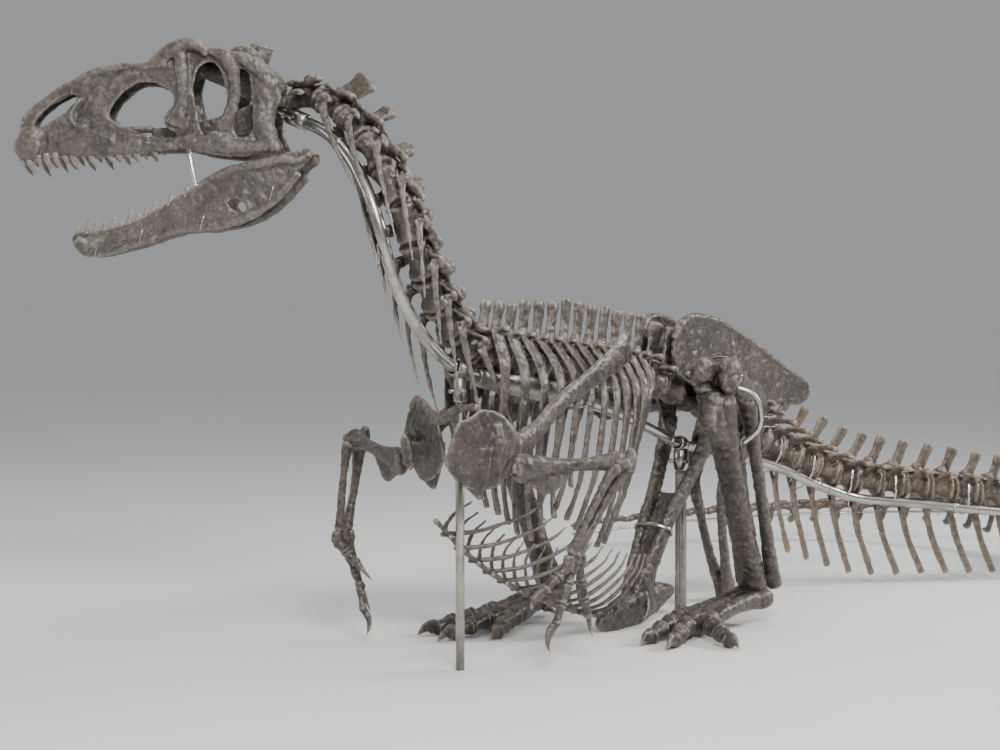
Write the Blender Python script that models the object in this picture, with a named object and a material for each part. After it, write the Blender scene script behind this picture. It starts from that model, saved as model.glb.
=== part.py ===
"""Crouching skeleton of a large meat-eating dinosaur on its steel mount, life-size.

Metres, +Z up, floor at z = 0. The animal faces -X, its left side is -Y. The trunk lies along
X, the neck rises in an S and turns the head to the animal's right, and the tail swings to the
left, then curls back behind the legs. Each sub-part is one closed, faceted solid.
"""
import math

import bmesh
import bpy
from mathutils import Vector

GAP = 0.0004
FLOOR_DIP = 0.2
BUSY_NODE = 500
BUSY_SHARES = (0.55, 0.62, 0.70, 0.80)
FUSE_WELDS = (0.0012, 0.0004, 0.00005)
CUT_WELDS = (0.00008, 0.00002)
FLAT_ANGLE = math.radians(0.6)

# Skull: length forward of the jaw joint, and half breadth at a few places along it
SKULL_ORIGIN = Vector((-1.388, 0.3545, 1.268))
SKULL_FORWARD = Vector((-0.571, 0.82, 0.0)).normalized()
SKULL_LEFT = Vector((-0.82, -0.571, 0.0)).normalized()
SKULL_BREADTH = [(-0.08, 0.105), (0.0, 0.105), (0.10, 0.102), (0.30, 0.072), (0.50, 0.046), (0.68, 0.026)]
UPPER_TEETH = 13
LOWER_TEETH = 12

# Vertebral column: points on the axis of each region, head to tail
NECK_AXIS = [(-1.385, 0.350, 1.398), (-1.382, 0.285, 1.396), (-1.388, 0.215, 1.372), (-1.402, 0.140, 1.325),
             (-1.414, 0.075, 1.262), (-1.415, 0.026, 1.190), (-1.403, -0.002, 1.117),
             (-1.376, -0.014, 1.042),
             (-1.330, -0.014, 0.968), (-1.268, -0.006, 0.898), (-1.195, 0.0, 0.832), (-1.120, 0.0, 0.792)]
TRUNK_AXIS = [(-1.120, 0.0, 0.792), (-1.0, 0.0, 0.768), (-0.80, 0.0, 0.748), (-0.55, 0.0, 0.722),
              (-0.30, 0.0, 0.690)]
SACRUM_AXIS = [(-0.30, 0.0, 0.690), (-0.12, 0.0, 0.650), (0.14, 0.0, 0.575)]
TAIL_AXIS = [(0.14, 0.0, 0.575), (0.29, -0.012, 0.508), (0.45, -0.046, 0.441), (0.585, -0.100, 0.385),
             (0.712, -0.177, 0.338), (0.832, -0.281, 0.318), (0.931, -0.388, 0.301), (1.022, -0.483, 0.286),
             (1.150, -0.590, 0.270), (1.300, -0.660, 0.250), (1.470, -0.660, 0.225), (1.620, -0.570, 0.200),
             (1.720, -0.420, 0.180), (1.775, -0.220, 0.165), (1.780, 0.0, 0.155), (1.740, 0.200, 0.145),
             (1.650, 0.380, 0.138), (1.520, 0.550, 0.130), (1.370, 0.690, 0.122), (1.200, 0.800, 0.114),
             (1.020, 0.890, 0.106), (0.840, 0.960, 0.100)]
NECK_COUNT = 10
TRUNK_COUNT = 13
SACRUM_COUNT = 5
TAIL_COUNT = 46
TAIL_SPLITS = (6, 12, 20, 31)
TAIL_RADIUS_ROOT = 0.053
TAIL_RADIUS_TIP = 0.008
CHEVRON_LENGTH = 0.250

RIB_BOTTOM = [0.560, 0.480, 0.430, 0.400, 0.375, 0.350, 0.320, 0.290, 0.265, 0.270, 0.320, 0.400]
RIB_OUT = [0.085, 0.105, 0.122, 0.135, 0.142, 0.147, 0.150, 0.150, 0.145, 0.138, 0.125, 0.105]

# Limbs: joints as (x, y, z)
HIP = {"left": (0.10, -0.085, 0.610), "right": (0.10, 0.085, 0.610)}
KNEE = {"left": (-0.454, -0.322, 0.719), "right": (-0.55, 0.315, 0.600)}
SHIN_TOP = {"left": (-0.432, -0.312, 0.650), "right": (-0.528, 0.312, 0.535)}
ANKLE = {"left": (-0.135, -0.268, 0.105), "right": (-0.345, 0.273, 0.090)}
TOE_BASE = {"left": (-0.405, -0.235, 0.044), "right": (-0.615, 0.250, 0.044)}
TOE_TIPS = {"left": [(-0.640, -0.205, 0.012), (-0.665, -0.300, 0.012), (-0.553, -0.450, 0.012)],
            "right": [(-0.800, 0.165, 0.012), (-0.905, 0.262, 0.012), (-0.850, 0.370, 0.012)]}
SHOULDER = {"left": (-1.168, -0.171, 0.507), "right": (-1.136, 0.202, 0.500)}
ELBOW = {"left": (-0.879, -0.289, 0.509), "right": (-1.002, 0.465, 0.544)}
WRIST = {"left": (-0.979, -0.215, 0.290), "right": (-1.006, 0.500, 0.303)}
FINGER_TIPS = {"left": [(-1.106, -0.173, 0.157), (-1.080, -0.210, 0.048), (-0.936, -0.243, 0.070)],
               "right": [(-1.010, 0.400, 0.170), (-0.978, 0.430, 0.080), (-1.024, 0.410, 0.020)]}

# Steel mount
TUBE_RADIUS = 0.015
TUBE_PATH = [(-1.398, 0.372, 1.372), (-1.400, 0.302, 1.346), (-1.412, 0.215, 1.312), (-1.432, 0.140, 1.262),
             (-1.452, 0.078, 1.200), (-1.458, 0.036, 1.128), (-1.450, 0.016, 1.056), (-1.420, 0.012, 0.975),
             (-1.368, 0.010, 0.895), (-1.285, 0.008, 0.812), (-1.165, 0.0, 0.738), (-1.0, 0.0, 0.706),
             (-0.80, 0.0, 0.680), (-0.55, 0.0, 0.628), (-0.30, 0.0, 0.560), (-0.07, 0.0, 0.490),
             (0.16, -0.030, 0.445),
             (0.30, -0.052, 0.418), (0.435, -0.082, 0.380), (0.568, -0.128, 0.326), (0.694, -0.202, 0.280),
             (0.813, -0.305, 0.262), (0.912, -0.410, 0.247), (1.004, -0.507, 0.232), (1.135, -0.616, 0.216),
             (1.295, -0.686, 0.198), (1.480, -0.690, 0.176)]
POST_FRONT = (-1.165, 0.0)
POST_FRONT_TOP = 0.738
POST_FRONT_RADIUS = 0.011
POST_REAR = (-0.07, 0.0)
POST_REAR_TOP = 0.490
POST_REAR_RADIUS = 0.017


def material(name, color, roughness, metallic):
    made = bpy.data.materials.new(name)
    made.use_nodes = True
    shader = made.node_tree.nodes["Principled BSDF"]
    shader.inputs["Base Color"].default_value = (*color, 1.0)
    shader.inputs["Roughness"].default_value = roughness
    shader.inputs["Metallic"].default_value = metallic
    return made


def curve_points(points, count):
    """Evenly spaced points, and their directions, on a smooth curve through the given points."""
    knots = [Vector(p) for p in points]
    ends = [2 * knots[0] - knots[1]] + knots + [2 * knots[-1] - knots[-2]]
    fine = []
    steps = 12
    for i in range(1, len(ends) - 2):
        a, b, c, d = ends[i - 1:i + 3]
        for k in range(steps):
            t = k / steps
            fine.append(0.5 * (2 * b + (c - a) * t + (2 * a - 5 * b + 4 * c - d) * t * t
                               + (3 * b - a - 3 * c + d) * t ** 3))
    fine.append(knots[-1])
    run = [0.0]
    for p, q in zip(fine, fine[1:]):
        run.append(run[-1] + (q - p).length)
    out = []
    for i in range(count):
        want = run[-1] * i / (count - 1)
        k = max(j for j in range(len(run)) if run[j] <= want + 1e-9)
        k = min(k, len(fine) - 2)
        t = (want - run[k]) / (run[k + 1] - run[k])
        out.append((fine[k].lerp(fine[k + 1], t), (fine[k + 1] - fine[k]).normalized()))
    return out


def mesh_object(name, bm):
    bmesh.ops.recalc_face_normals(bm, faces=bm.faces)
    mesh = bpy.data.meshes.new(name)
    bm.to_mesh(mesh)
    bm.free()
    made = bpy.data.objects.new(name, mesh)
    bpy.context.scene.collection.objects.link(made)
    return made


def bar(points, sizes, up=(0.0, 0.0, 1.0), sides=6):
    """A closed bar of oval section; each size is (half breadth, half depth along up)."""
    points = [Vector(p) for p in points]
    up = Vector(up)
    bm = bmesh.new()
    rings = []
    for i, p in enumerate(points):
        ahead = points[min(i + 1, len(points) - 1)]
        behind = points[max(i - 1, 0)]
        along = (ahead - behind).normalized()
        side = along.cross(up).normalized()
        rise = side.cross(along)
        broad, deep = sizes[i]
        ring = []
        for k in range(sides):
            angle = 2 * math.pi * (k + 0.5) / sides
            ring.append(bm.verts.new(p + side * broad * math.cos(angle) + rise * deep * math.sin(angle)))
        rings.append(ring)
    for low, high in zip(rings, rings[1:]):
        for k in range(sides):
            bm.faces.new((low[k], low[(k + 1) % sides], high[(k + 1) % sides], high[k]))
    bm.faces.new(rings[0])
    bm.faces.new(rings[-1])
    return mesh_object("piece", bm)


def round_bar(points, radii, up=(0.0, 0.0, 1.0), sides=6):
    return bar(points, [(r, r) for r in radii], up, sides)


def closed_copy(source):
    """The evaluated mesh of an object as a new bmesh in world space, with loose seams welded."""
    graph = bpy.context.evaluated_depsgraph_get()
    mesh = bpy.data.meshes.new_from_object(source.evaluated_get(graph))
    bm = bmesh.new()
    bm.from_mesh(mesh)
    bm.transform(source.matrix_world)
    bpy.data.meshes.remove(mesh)
    return bm


def keep_largest(bm):
    """Drops every closed surface but the one that holds the most."""
    bm.faces.ensure_lookup_table()
    seen = set()
    shells = []
    for face in bm.faces:
        if face.index in seen:
            continue
        shell = []
        queue = [face]
        seen.add(face.index)
        while queue:
            f = queue.pop()
            shell.append(f)
            for edge in f.edges:
                for g in edge.link_faces:
                    if g.index not in seen:
                        seen.add(g.index)
                        queue.append(g)
        volume = 0.0
        for f in shell:
            verts = [v.co for v in f.verts]
            for q, r in zip(verts[1:], verts[2:]):
                volume += verts[0].dot(q.cross(r)) / 6
        shells.append((abs(volume), shell))
    shells.sort(key=lambda s: s[0], reverse=True)
    scraps = [f for _, shell in shells[1:] for f in shell]
    bmesh.ops.delete(bm, geom=scraps, context="FACES")
    loose = [v for v in bm.verts if not v.link_faces]
    bmesh.ops.delete(bm, geom=loose, context="VERTS")


def open_edges(bm):
    return sum(1 for edge in bm.edges if len(edge.link_faces) != 2)


def tidy_mesh(bm, welds=CUT_WELDS):
    """Welds slivers and merges flat neighbours, where the surface stays closed, then triangulates."""
    before = open_edges(bm)
    for weld in welds:
        trial = bm.copy()
        bmesh.ops.remove_doubles(trial, verts=trial.verts, dist=weld)
        bmesh.ops.dissolve_limit(trial, angle_limit=FLAT_ANGLE, verts=trial.verts, edges=trial.edges)
        bmesh.ops.triangulate(trial, faces=trial.faces)
        good = open_edges(trial) <= before and len(trial.faces) > 0
        if good:
            mesh = bpy.data.meshes.new("trial")
            trial.to_mesh(mesh)
            bm.clear()
            bm.from_mesh(mesh)
            bpy.data.meshes.remove(mesh)
        trial.free()
        if good:
            return
    bmesh.ops.triangulate(bm, faces=bm.faces)


def combine(target, others, operation, solver):
    """One Boolean of the target with a collection of closed objects, applied."""
    operands = bpy.data.collections.new("operands")
    bpy.context.scene.collection.children.link(operands)
    for other in others:
        operands.objects.link(other)
    modifier = target.modifiers.new("combine", "BOOLEAN")
    modifier.operation = operation
    modifier.operand_type = "COLLECTION"
    modifier.collection = operands
    modifier.solver = solver
    bm = closed_copy(target)
    target.modifiers.clear()
    bpy.data.collections.remove(operands)
    return bm


def store(target, bm):
    bm.to_mesh(target.data)
    bm.free()
    target.data.update()


def thinned(target):
    """Merges the smallest triangles that the joining left, to the least share that stays closed."""
    whole = closed_copy(target)
    before = open_edges(whole)
    whole.free()
    for share in BUSY_SHARES:
        modifier = target.modifiers.new("thin", "DECIMATE")
        modifier.ratio = share
        bm = closed_copy(target)
        target.modifiers.clear()
        if open_edges(bm) <= before:
            store(target, bm)
            return
        bm.free()


def fuse(name, pieces, finish, collection):
    """Joins overlapping pieces into the one closed solid of a node."""
    base = pieces[0]
    if len(pieces) > 1:
        bm = combine(base, pieces[1:], "UNION", "EXACT")
    else:
        bm = closed_copy(base)
    keep_largest(bm)
    tidy_mesh(bm, FUSE_WELDS)
    for piece in pieces[1:]:
        bpy.data.objects.remove(piece)
    store(base, bm)
    if len(base.data.polygons) > BUSY_NODE:
        thinned(base)
    base.name = name
    base.data.name = name
    base.data.materials.clear()
    base.data.materials.append(finish)
    for holder in list(base.users_collection):
        holder.objects.unlink(base)
    collection.objects.link(base)
    return base


def bounds(target):
    corners = [target.matrix_world @ v.co for v in target.data.vertices]
    low = Vector([min(c[i] for c in corners) for i in range(3)])
    high = Vector([max(c[i] for c in corners) for i in range(3)])
    return low, high


def near(first, second, margin=0.002):
    low_a, high_a = bounds(first)
    low_b, high_b = bounds(second)
    return all(low_a[i] - margin < high_b[i] and low_b[i] - margin < high_a[i] for i in range(3))


def swollen(source, amount):
    """A copy of a solid with every face moved out by the given amount."""
    bm = closed_copy(source)
    bm.normal_update()
    moves = []
    for vert in bm.verts:
        normal = vert.normal.copy()
        least = min((normal.dot(f.normal) for f in vert.link_faces), default=1.0)
        moves.append((vert, normal * amount / max(least, 0.3)))
    for vert, move in moves:
        vert.co += move
    return mesh_object("swollen", bm)


def clear_of(target, neighbours):
    """Cuts a solid back from its neighbours, so that they meet face to face."""
    cutters = []
    for neighbour in neighbours:
        if near(target, neighbour):
            cutters += [swollen(neighbour, GAP), swollen(neighbour, 0.0)]
    for cutter in cutters:
        bm = combine(target, [cutter], "DIFFERENCE", "EXACT")
        keep_largest(bm)
        tidy_mesh(bm)
        store(target, bm)
    for cutter in cutters:
        bpy.data.objects.remove(cutter)


def trim_to_floor(target):
    """Gives a solid that dips under the floor a flat foot on it."""
    if bounds(target)[0].z > 0.0:
        return
    bm = bmesh.new()
    bmesh.ops.create_cube(bm, size=1.0)
    bmesh.ops.scale(bm, verts=bm.verts, vec=(6.0, 6.0, FLOOR_DIP))
    bmesh.ops.translate(bm, verts=bm.verts, vec=(0.0, 0.0, -FLOOR_DIP / 2))
    floor = mesh_object("floor", bm)
    bm = combine(target, [floor], "DIFFERENCE", "EXACT")
    keep_largest(bm)
    tidy_mesh(bm)
    store(target, bm)
    bpy.data.objects.remove(floor)


# Skull and lower jaw, in the head's own axes: x forward of the jaw joint, y to its left, z up

def breadth_at(x):
    for (x0, b0), (x1, b1) in zip(SKULL_BREADTH, SKULL_BREADTH[1:]):
        if x <= x1:
            return b0 + (b1 - b0) * (x - x0) / (x1 - x0)
    return SKULL_BREADTH[-1][1]


def head(x, y, z):
    return SKULL_ORIGIN + SKULL_FORWARD * x + SKULL_LEFT * y + Vector((0.0, 0.0, z))


def head_bar(rows, side, sides=6):
    """A strut of the skull's side wall; rows are (x, z, half thickness, half height, inset)."""
    points = [head(x, side * (breadth_at(x) - inset), z) for x, z, _, _, inset in rows]
    sizes = [(deep, thick) for _, _, thick, deep, _ in rows]
    return bar(points, sizes, up=SKULL_LEFT, sides=sides)


def roof_bar(rows, sides=6):
    """A plate across the skull's top; rows are (x, z, half width, half thickness)."""
    return bar([head(x, 0.0, z) for x, z, _, _ in rows], [(w, t) for _, _, w, t in rows], sides=sides)


def tooth(x, y, z, length, down, thick):
    tip = head(x - 0.30 * length, y * 0.98, z - down * length)
    root = head(x + 0.10 * length, y, z + down * 0.012)
    return round_bar([root, tip], [thick, thick * 0.15], up=SKULL_LEFT, sides=4)


MAXILLA = [(0.600, 0.040, 0.014, 0.044, 0.004), (0.540, 0.048, 0.015, 0.050, 0.004),
           (0.480, 0.046, 0.014, 0.050, 0.0),
           (0.430, 0.040, 0.013, 0.044, 0.0), (0.370, 0.028, 0.012, 0.030, 0.0),
           (0.305, 0.020, 0.011, 0.018, 0.0),
           (0.250, 0.020, 0.010, 0.016, 0.0)]
PREMAXILLA = [(0.659, 0.050, 0.010, 0.030, -0.002), (0.640, 0.036, 0.016, 0.052, 0.0),
              (0.600, 0.030, 0.016, 0.046, 0.004),
              (0.575, 0.035, 0.014, 0.040, 0.004)]
NARIS_BAR = [(0.645, 0.070, 0.010, 0.014, 0.004), (0.610, 0.112, 0.010, 0.012, 0.010),
             (0.560, 0.142, 0.010, 0.012, 0.010),
             (0.500, 0.170, 0.010, 0.014, 0.006)]
SNOUT_BAR = [(0.505, 0.050, 0.010, 0.032, 0.004), (0.465, 0.105, 0.010, 0.030, 0.006),
             (0.420, 0.160, 0.010, 0.026, 0.006),
             (0.365, 0.196, 0.010, 0.016, 0.004)]
NASAL_EDGE = [(0.520, 0.165, 0.010, 0.014, 0.008), (0.440, 0.198, 0.011, 0.014, 0.006),
              (0.360, 0.205, 0.011, 0.014, 0.004),
              (0.290, 0.215, 0.012, 0.018, 0.0)]
HORN = [(0.318, 0.216, 0.012, 0.014, 0.002), (0.275, 0.240, 0.014, 0.022, 0.0),
        (0.228, 0.254, 0.015, 0.022, 0.0),
        (0.188, 0.243, 0.013, 0.016, 0.004)]
LACRIMAL = [(0.262, 0.236, 0.011, 0.022, 0.0), (0.258, 0.180, 0.010, 0.016, 0.0),
            (0.258, 0.110, 0.010, 0.015, 0.0),
            (0.268, 0.062, 0.012, 0.030, 0.0), (0.275, 0.030, 0.010, 0.030, 0.0)]
JUGAL = [(0.290, 0.020, 0.010, 0.018, 0.0), (0.230, 0.030, 0.011, 0.026, 0.0),
         (0.180, 0.030, 0.012, 0.036, 0.0),
         (0.130, 0.014, 0.011, 0.025, 0.0), (0.070, 0.010, 0.010, 0.022, 0.0),
         (0.015, 0.016, 0.012, 0.018, 0.002)]
POSTORBITAL = [(0.186, 0.240, 0.014, 0.014, 0.002), (0.150, 0.222, 0.013, 0.026, 0.0),
               (0.136, 0.170, 0.011, 0.017, 0.0),
               (0.138, 0.110, 0.010, 0.017, 0.0), (0.160, 0.045, 0.010, 0.020, 0.0)]
SQUAMOSAL = [(0.150, 0.226, 0.012, 0.020, 0.0), (0.095, 0.214, 0.014, 0.022, 0.002),
             (0.050, 0.185, 0.014, 0.026, 0.002),
             (0.025, 0.150, 0.012, 0.020, 0.004)]
QUADRATE = [(0.050, 0.185, 0.012, 0.030, 0.006), (0.044, 0.120, 0.012, 0.038, 0.004),
            (0.044, 0.060, 0.012, 0.036, 0.0),
            (0.030, 0.022, 0.014, 0.028, 0.002), (0.012, 0.006, 0.015, 0.014, 0.004)]
FRONTAL = [(0.560, 0.146, 0.030, 0.010), (0.480, 0.180, 0.040, 0.011), (0.400, 0.203, 0.052, 0.011),
           (0.300, 0.212, 0.066, 0.012),
           (0.200, 0.234, 0.078, 0.014), (0.130, 0.232, 0.072, 0.018), (0.085, 0.240, 0.040, 0.020)]
PARIETAL = [(0.135, 0.236, 0.030, 0.018), (0.095, 0.250, 0.040, 0.026), (0.050, 0.238, 0.050, 0.026),
            (0.030, 0.215, 0.046, 0.018)]
BRAINCASE = [(0.200, 0.200, 0.030, 0.030), (0.120, 0.185, 0.040, 0.045), (0.050, 0.165, 0.045, 0.055),
             (0.022, 0.150, 0.040, 0.040)]
PALATE = [(0.640, 0.030, 0.026, 0.012), (0.560, 0.050, 0.036, 0.012), (0.450, 0.062, 0.044, 0.010),
          (0.320, 0.060, 0.050, 0.010)]
RAMUS = [(0.512, -0.206, 0.010, 0.012, -0.016), (0.485, -0.225, 0.014, 0.027, -0.004),
         (0.420, -0.212, 0.014, 0.036, 0.010),
         (0.350, -0.188, 0.013, 0.033, 0.010), (0.270, -0.153, 0.013, 0.041, 0.008),
         (0.200, -0.132, 0.013, 0.055, 0.006),
         (0.150, -0.111, 0.014, 0.072, 0.004), (0.090, -0.100, 0.014, 0.068, 0.002),
         (0.040, -0.077, 0.014, 0.060, 0.002),
         (0.000, -0.054, 0.015, 0.050, 0.002), (-0.035, -0.028, 0.014, 0.026, 0.004),
         (-0.062, -0.010, 0.010, 0.010, 0.006)]


def make_skull():
    pieces = [roof_bar(FRONTAL), roof_bar(PARIETAL), roof_bar(BRAINCASE, 8), roof_bar(PALATE)]
    for side in (1, -1):
        for rows in (MAXILLA, PREMAXILLA, JUGAL, QUADRATE):
            pieces.append(head_bar(rows, side))
        for rows in (NARIS_BAR, SNOUT_BAR, NASAL_EDGE, HORN, LACRIMAL, POSTORBITAL, SQUAMOSAL):
            pieces.append(head_bar(rows, side, 4))
        pieces.append(bar([head(0.045, 0.0, 0.165), head(0.030, side * 0.060, 0.150),
                           head(0.028, side * 0.098, 0.140)],
                          [(0.014, 0.030), (0.012, 0.022), (0.010, 0.018)]))
        pieces.append(bar([head(0.100, 0.0, 0.225), head(0.080, side * 0.060, 0.225),
                           head(0.070, side * 0.096, 0.205)],
                          [(0.016, 0.016), (0.014, 0.016), (0.014, 0.018)]))
        for i in range(UPPER_TEETH):
            x = 0.640 - 0.335 * i / (UPPER_TEETH - 1)
            z = -0.004 if i > 1 else -0.010
            length = 0.034 - 0.014 * i / (UPPER_TEETH - 1) + 0.004 * math.sin(2.4 * i)
            pieces.append(tooth(x, side * (breadth_at(x) - 0.004), z + 0.012 * i / UPPER_TEETH, length,
                                1.0, 0.0062))
    pieces.append(round_bar([head(0.050, 0.0, 0.142), head(0.016, 0.0, 0.132)], [0.026, 0.020]))
    return pieces


def jaw_height(x):
    for (x0, z0, _, h0, _), (x1, z1, _, h1, _) in zip(RAMUS, RAMUS[1:]):
        if x >= x1:
            t = (x - x0) / (x1 - x0)
            return z0 + (z1 - z0) * t + (h0 + (h1 - h0) * t) * 0.86
    return 0.0


def make_lower_jaw():
    pieces = []
    for side in (1, -1):
        pieces.append(head_bar(RAMUS, side))
        for i in range(LOWER_TEETH):
            x = 0.497 - 0.275 * i / (LOWER_TEETH - 1)
            z = jaw_height(x)
            inset = 0.010 if x < 0.45 else 0.004
            length = 0.030 - 0.010 * i / (LOWER_TEETH - 1) + 0.004 * math.sin(3.1 * i)
            pieces.append(tooth(x, side * (breadth_at(x) - inset), z, length, -1.0, 0.0058))
    pieces.append(bar([head(0.500, -0.040, -0.218), head(0.500, 0.0, -0.222), head(0.500, 0.040, -0.218)],
                      [(0.016, 0.020)] * 3))
    return pieces


# Vertebrae

def vertebra(centre, along, up, radius, length, spine, wings, sides=6):
    """Spool, arch with its spine, and a pair of side processes.

    spine is (height, half width fore and aft, half thickness, lean back); wings are
    (reach, rise, sweep back, half width).
    """
    side = along.cross(up).normalized()
    up = side.cross(along).normalized()
    half = length / 2
    ends = [centre - along * half, centre, centre + along * half]
    pieces = [round_bar(ends, [radius, radius * 0.78, radius], up=up, sides=sides)]
    height, wide, thick, lean = spine
    if height > 0:
        foot = centre + up * radius * 0.5
        knee = centre + up * (radius + 0.3 * (height - radius)) + along * lean * 0.25
        top = centre + up * height + along * lean
        pieces.append(bar([foot, knee, top], [(radius * 0.62, wide * 1.3), (thick, wide * 0.95),
                                              (thick * 1.4, wide * 1.2)],
                          up=along, sides=4))
    reach, rise, sweep, broad = wings
    if reach > 0:
        for s in (1, -1):
            root = centre + up * radius * 0.75
            elbow = centre + up * (radius * 0.6 + rise * 0.7) + side * s * reach * 0.55 + along * sweep * 0.4
            tip = centre + up * (radius * 0.4 + rise) + side * s * reach + along * sweep
            pieces.append(bar([root, elbow, tip], [(broad, 0.010), (broad * 0.8, 0.008),
                                                   (broad * 0.7, 0.006)],
                              up=up, sides=4))
    return pieces


def make_neck(first, last):
    """Cervical vertebrae with their ribs; index 0 meets the skull."""
    places = curve_points(NECK_AXIS, NECK_COUNT * 2 + 1)
    pieces = []
    for i in range(first, last):
        centre, along = places[2 * i + 1]
        span = (places[2 * i + 2][0] - places[2 * i][0]).length
        back = Vector((0.30, 0.0, 1.0)).lerp(Vector((1.0, 0.0, 0.25)), min(1.0, i / 4))
        radius = 0.026 + 0.010 * i / NECK_COUNT
        reach = 0.052 + 0.020 * i / NECK_COUNT
        spine = (0.085 + 0.012 * math.cos(i), 0.020, 0.008, 0.014)
        if i == 0:
            spine = (0.060, 0.018, 0.008, 0.0)
        elif i == 1:
            spine = (0.102, 0.036, 0.008, 0.030)
        pieces += vertebra(centre, along, back, radius, span * 1.04, spine, (reach, -0.010, 0.012, 0.018))
        side = along.cross(back).normalized()
        up = side.cross(along).normalized()
        for s in (1, -1):
            start = centre + side * s * 0.010 + up * radius * 1.0
            end = centre + side * s * 0.040 + up * (radius + 0.028) + along * span * 0.80
            pieces.append(bar([start, end], [(0.014, 0.009), (0.012, 0.008)], up=up, sides=4))
            if 0 < i < NECK_COUNT:
                root = centre + side * s * (reach - 0.012) - up * 0.004 + along * 0.004
                bend = centre + side * s * (reach - 0.006) - up * 0.030 + along * 0.030
                fall = 0.17 + 0.05 * math.sin(0.9 * i)
                tip = bend + along * fall * 0.75 - up * 0.030 + Vector((0.0, 0.0, -fall * 0.45))
                pieces.append(bar([root, bend, tip], [(0.010, 0.011), (0.008, 0.010), (0.003, 0.003)],
                                  up=up, sides=4))
    return pieces


def rib(centre, index, side):
    """A two-headed rib that bows out from the spool and the side process, then hangs down."""
    out = RIB_OUT[index]
    low = RIB_BOTTOM[index]
    drop = centre.z - low
    sweep = -0.012 - 0.013 * index
    rows = [(0.020, 0.000, 0.03), (0.055, 0.006, 0.000), (0.75 * out, 0.010, 0.14),
            (out, 0.30 * sweep, 0.36),
            (out * 0.98, 0.65 * sweep, 0.66), (out * 0.74, sweep, 1.0)]
    points = []
    for y, shift, fall in rows:
        points.append((centre.x + shift, side * y, centre.z + 0.045 - (drop + 0.045) * fall))
    sizes = [(0.007, 0.012), (0.008, 0.014), (0.007, 0.013), (0.0065, 0.012), (0.006, 0.010),
             (0.005, 0.007)]
    return bar(points, sizes, up=(1.0, 0.0, 0.0), sides=4)


def make_trunk(side):
    places = curve_points(TRUNK_AXIS, TRUNK_COUNT * 2 + 1)
    pieces = []
    for i in range(TRUNK_COUNT):
        centre, along = places[2 * i + 1]
        span = (places[2 * i + 2][0] - places[2 * i][0]).length
        height = 0.128 + 0.044 * min(1.0, i / 6)
        pieces += vertebra(centre, along, Vector((0.0, 0.0, 1.0)), 0.036 + 0.004 * i / TRUNK_COUNT,
                           span * 1.04,
                           (height, 0.015, 0.008, 0.010), (0.074, 0.045, 0.014, 0.014))
        if i < len(RIB_BOTTOM):
            pieces.append(rib(centre, i, side))
    return pieces


def half_cut(target, side):
    """Keeps one side of a solid, just clear of the mid-plane."""
    bm = bmesh.new()
    bmesh.ops.create_cube(bm, size=2.0)
    shift = -side * (1.0 - GAP)
    bmesh.ops.translate(bm, verts=bm.verts, vec=(-0.6, shift, 0.6))
    block = mesh_object("block", bm)
    bm = combine(target, [block], "DIFFERENCE", "EXACT")
    keep_largest(bm)
    tidy_mesh(bm)
    store(target, bm)
    bpy.data.objects.remove(block)


def make_sacrum():
    places = curve_points(SACRUM_AXIS, SACRUM_COUNT * 2 + 1)
    pieces = []
    for i in range(SACRUM_COUNT):
        centre, along = places[2 * i + 1]
        span = (places[2 * i + 2][0] - places[2 * i][0]).length
        pieces += vertebra(centre, along, Vector((0.0, 0.0, 1.0)), 0.040, span * 1.05,
                           (0.165, 0.030, 0.010, 0.006), (0.080, 0.020, 0.004, 0.020))
    return pieces


def tail_size(i):
    t = i / (TAIL_COUNT - 1)
    return TAIL_RADIUS_ROOT + (TAIL_RADIUS_TIP - TAIL_RADIUS_ROOT) * t ** 0.8


def make_tail(first, last):
    places = curve_points(TAIL_AXIS, TAIL_COUNT * 2 + 1)
    pieces = []
    for i in range(first, last):
        centre, along = places[2 * i + 1]
        span = (places[2 * i + 2][0] - places[2 * i][0]).length
        radius = tail_size(i)
        fade = max(0.0, 1.0 - i / 30)
        height = 0.178 - 0.0040 * i
        reach = radius + 0.095 * max(0.0, 1.0 - i / 17)
        wings = (reach, 0.010, 0.035 * fade, 0.012) if i < 17 else (0.0, 0.0, 0.0, 0.0)
        spine = (height, 0.012, 0.006, 0.045 * fade + 0.010) if i < 30 else (0.0, 0.0, 0.0, 0.0)
        up = Vector((0.0, 0.0, 1.0))
        sides = 6 if i < 20 else 5
        pieces += vertebra(centre, along, up, radius, span * 1.05, spine, wings, sides)
        if 0 < i < 38:
            long = CHEVRON_LENGTH * max(0.14, 1.0 - max(0, i - 9) / 22)
            joint = centre + along * span * 0.45
            top = joint - Vector((0.0, 0.0, radius * 0.5))
            mid = joint - Vector((0.0, 0.0, radius + long * 0.45)) + along * long * 0.08
            low = joint - Vector((0.0, 0.0, radius + long)) + along * long * 0.30
            if low.z < 0.03:
                low.z = 0.03
            pieces.append(bar([top, mid, low], [(0.006, 0.012), (0.005, 0.013), (0.005, 0.011)], up=along,
                              sides=4))
    return pieces


# Limb girdles

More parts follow.
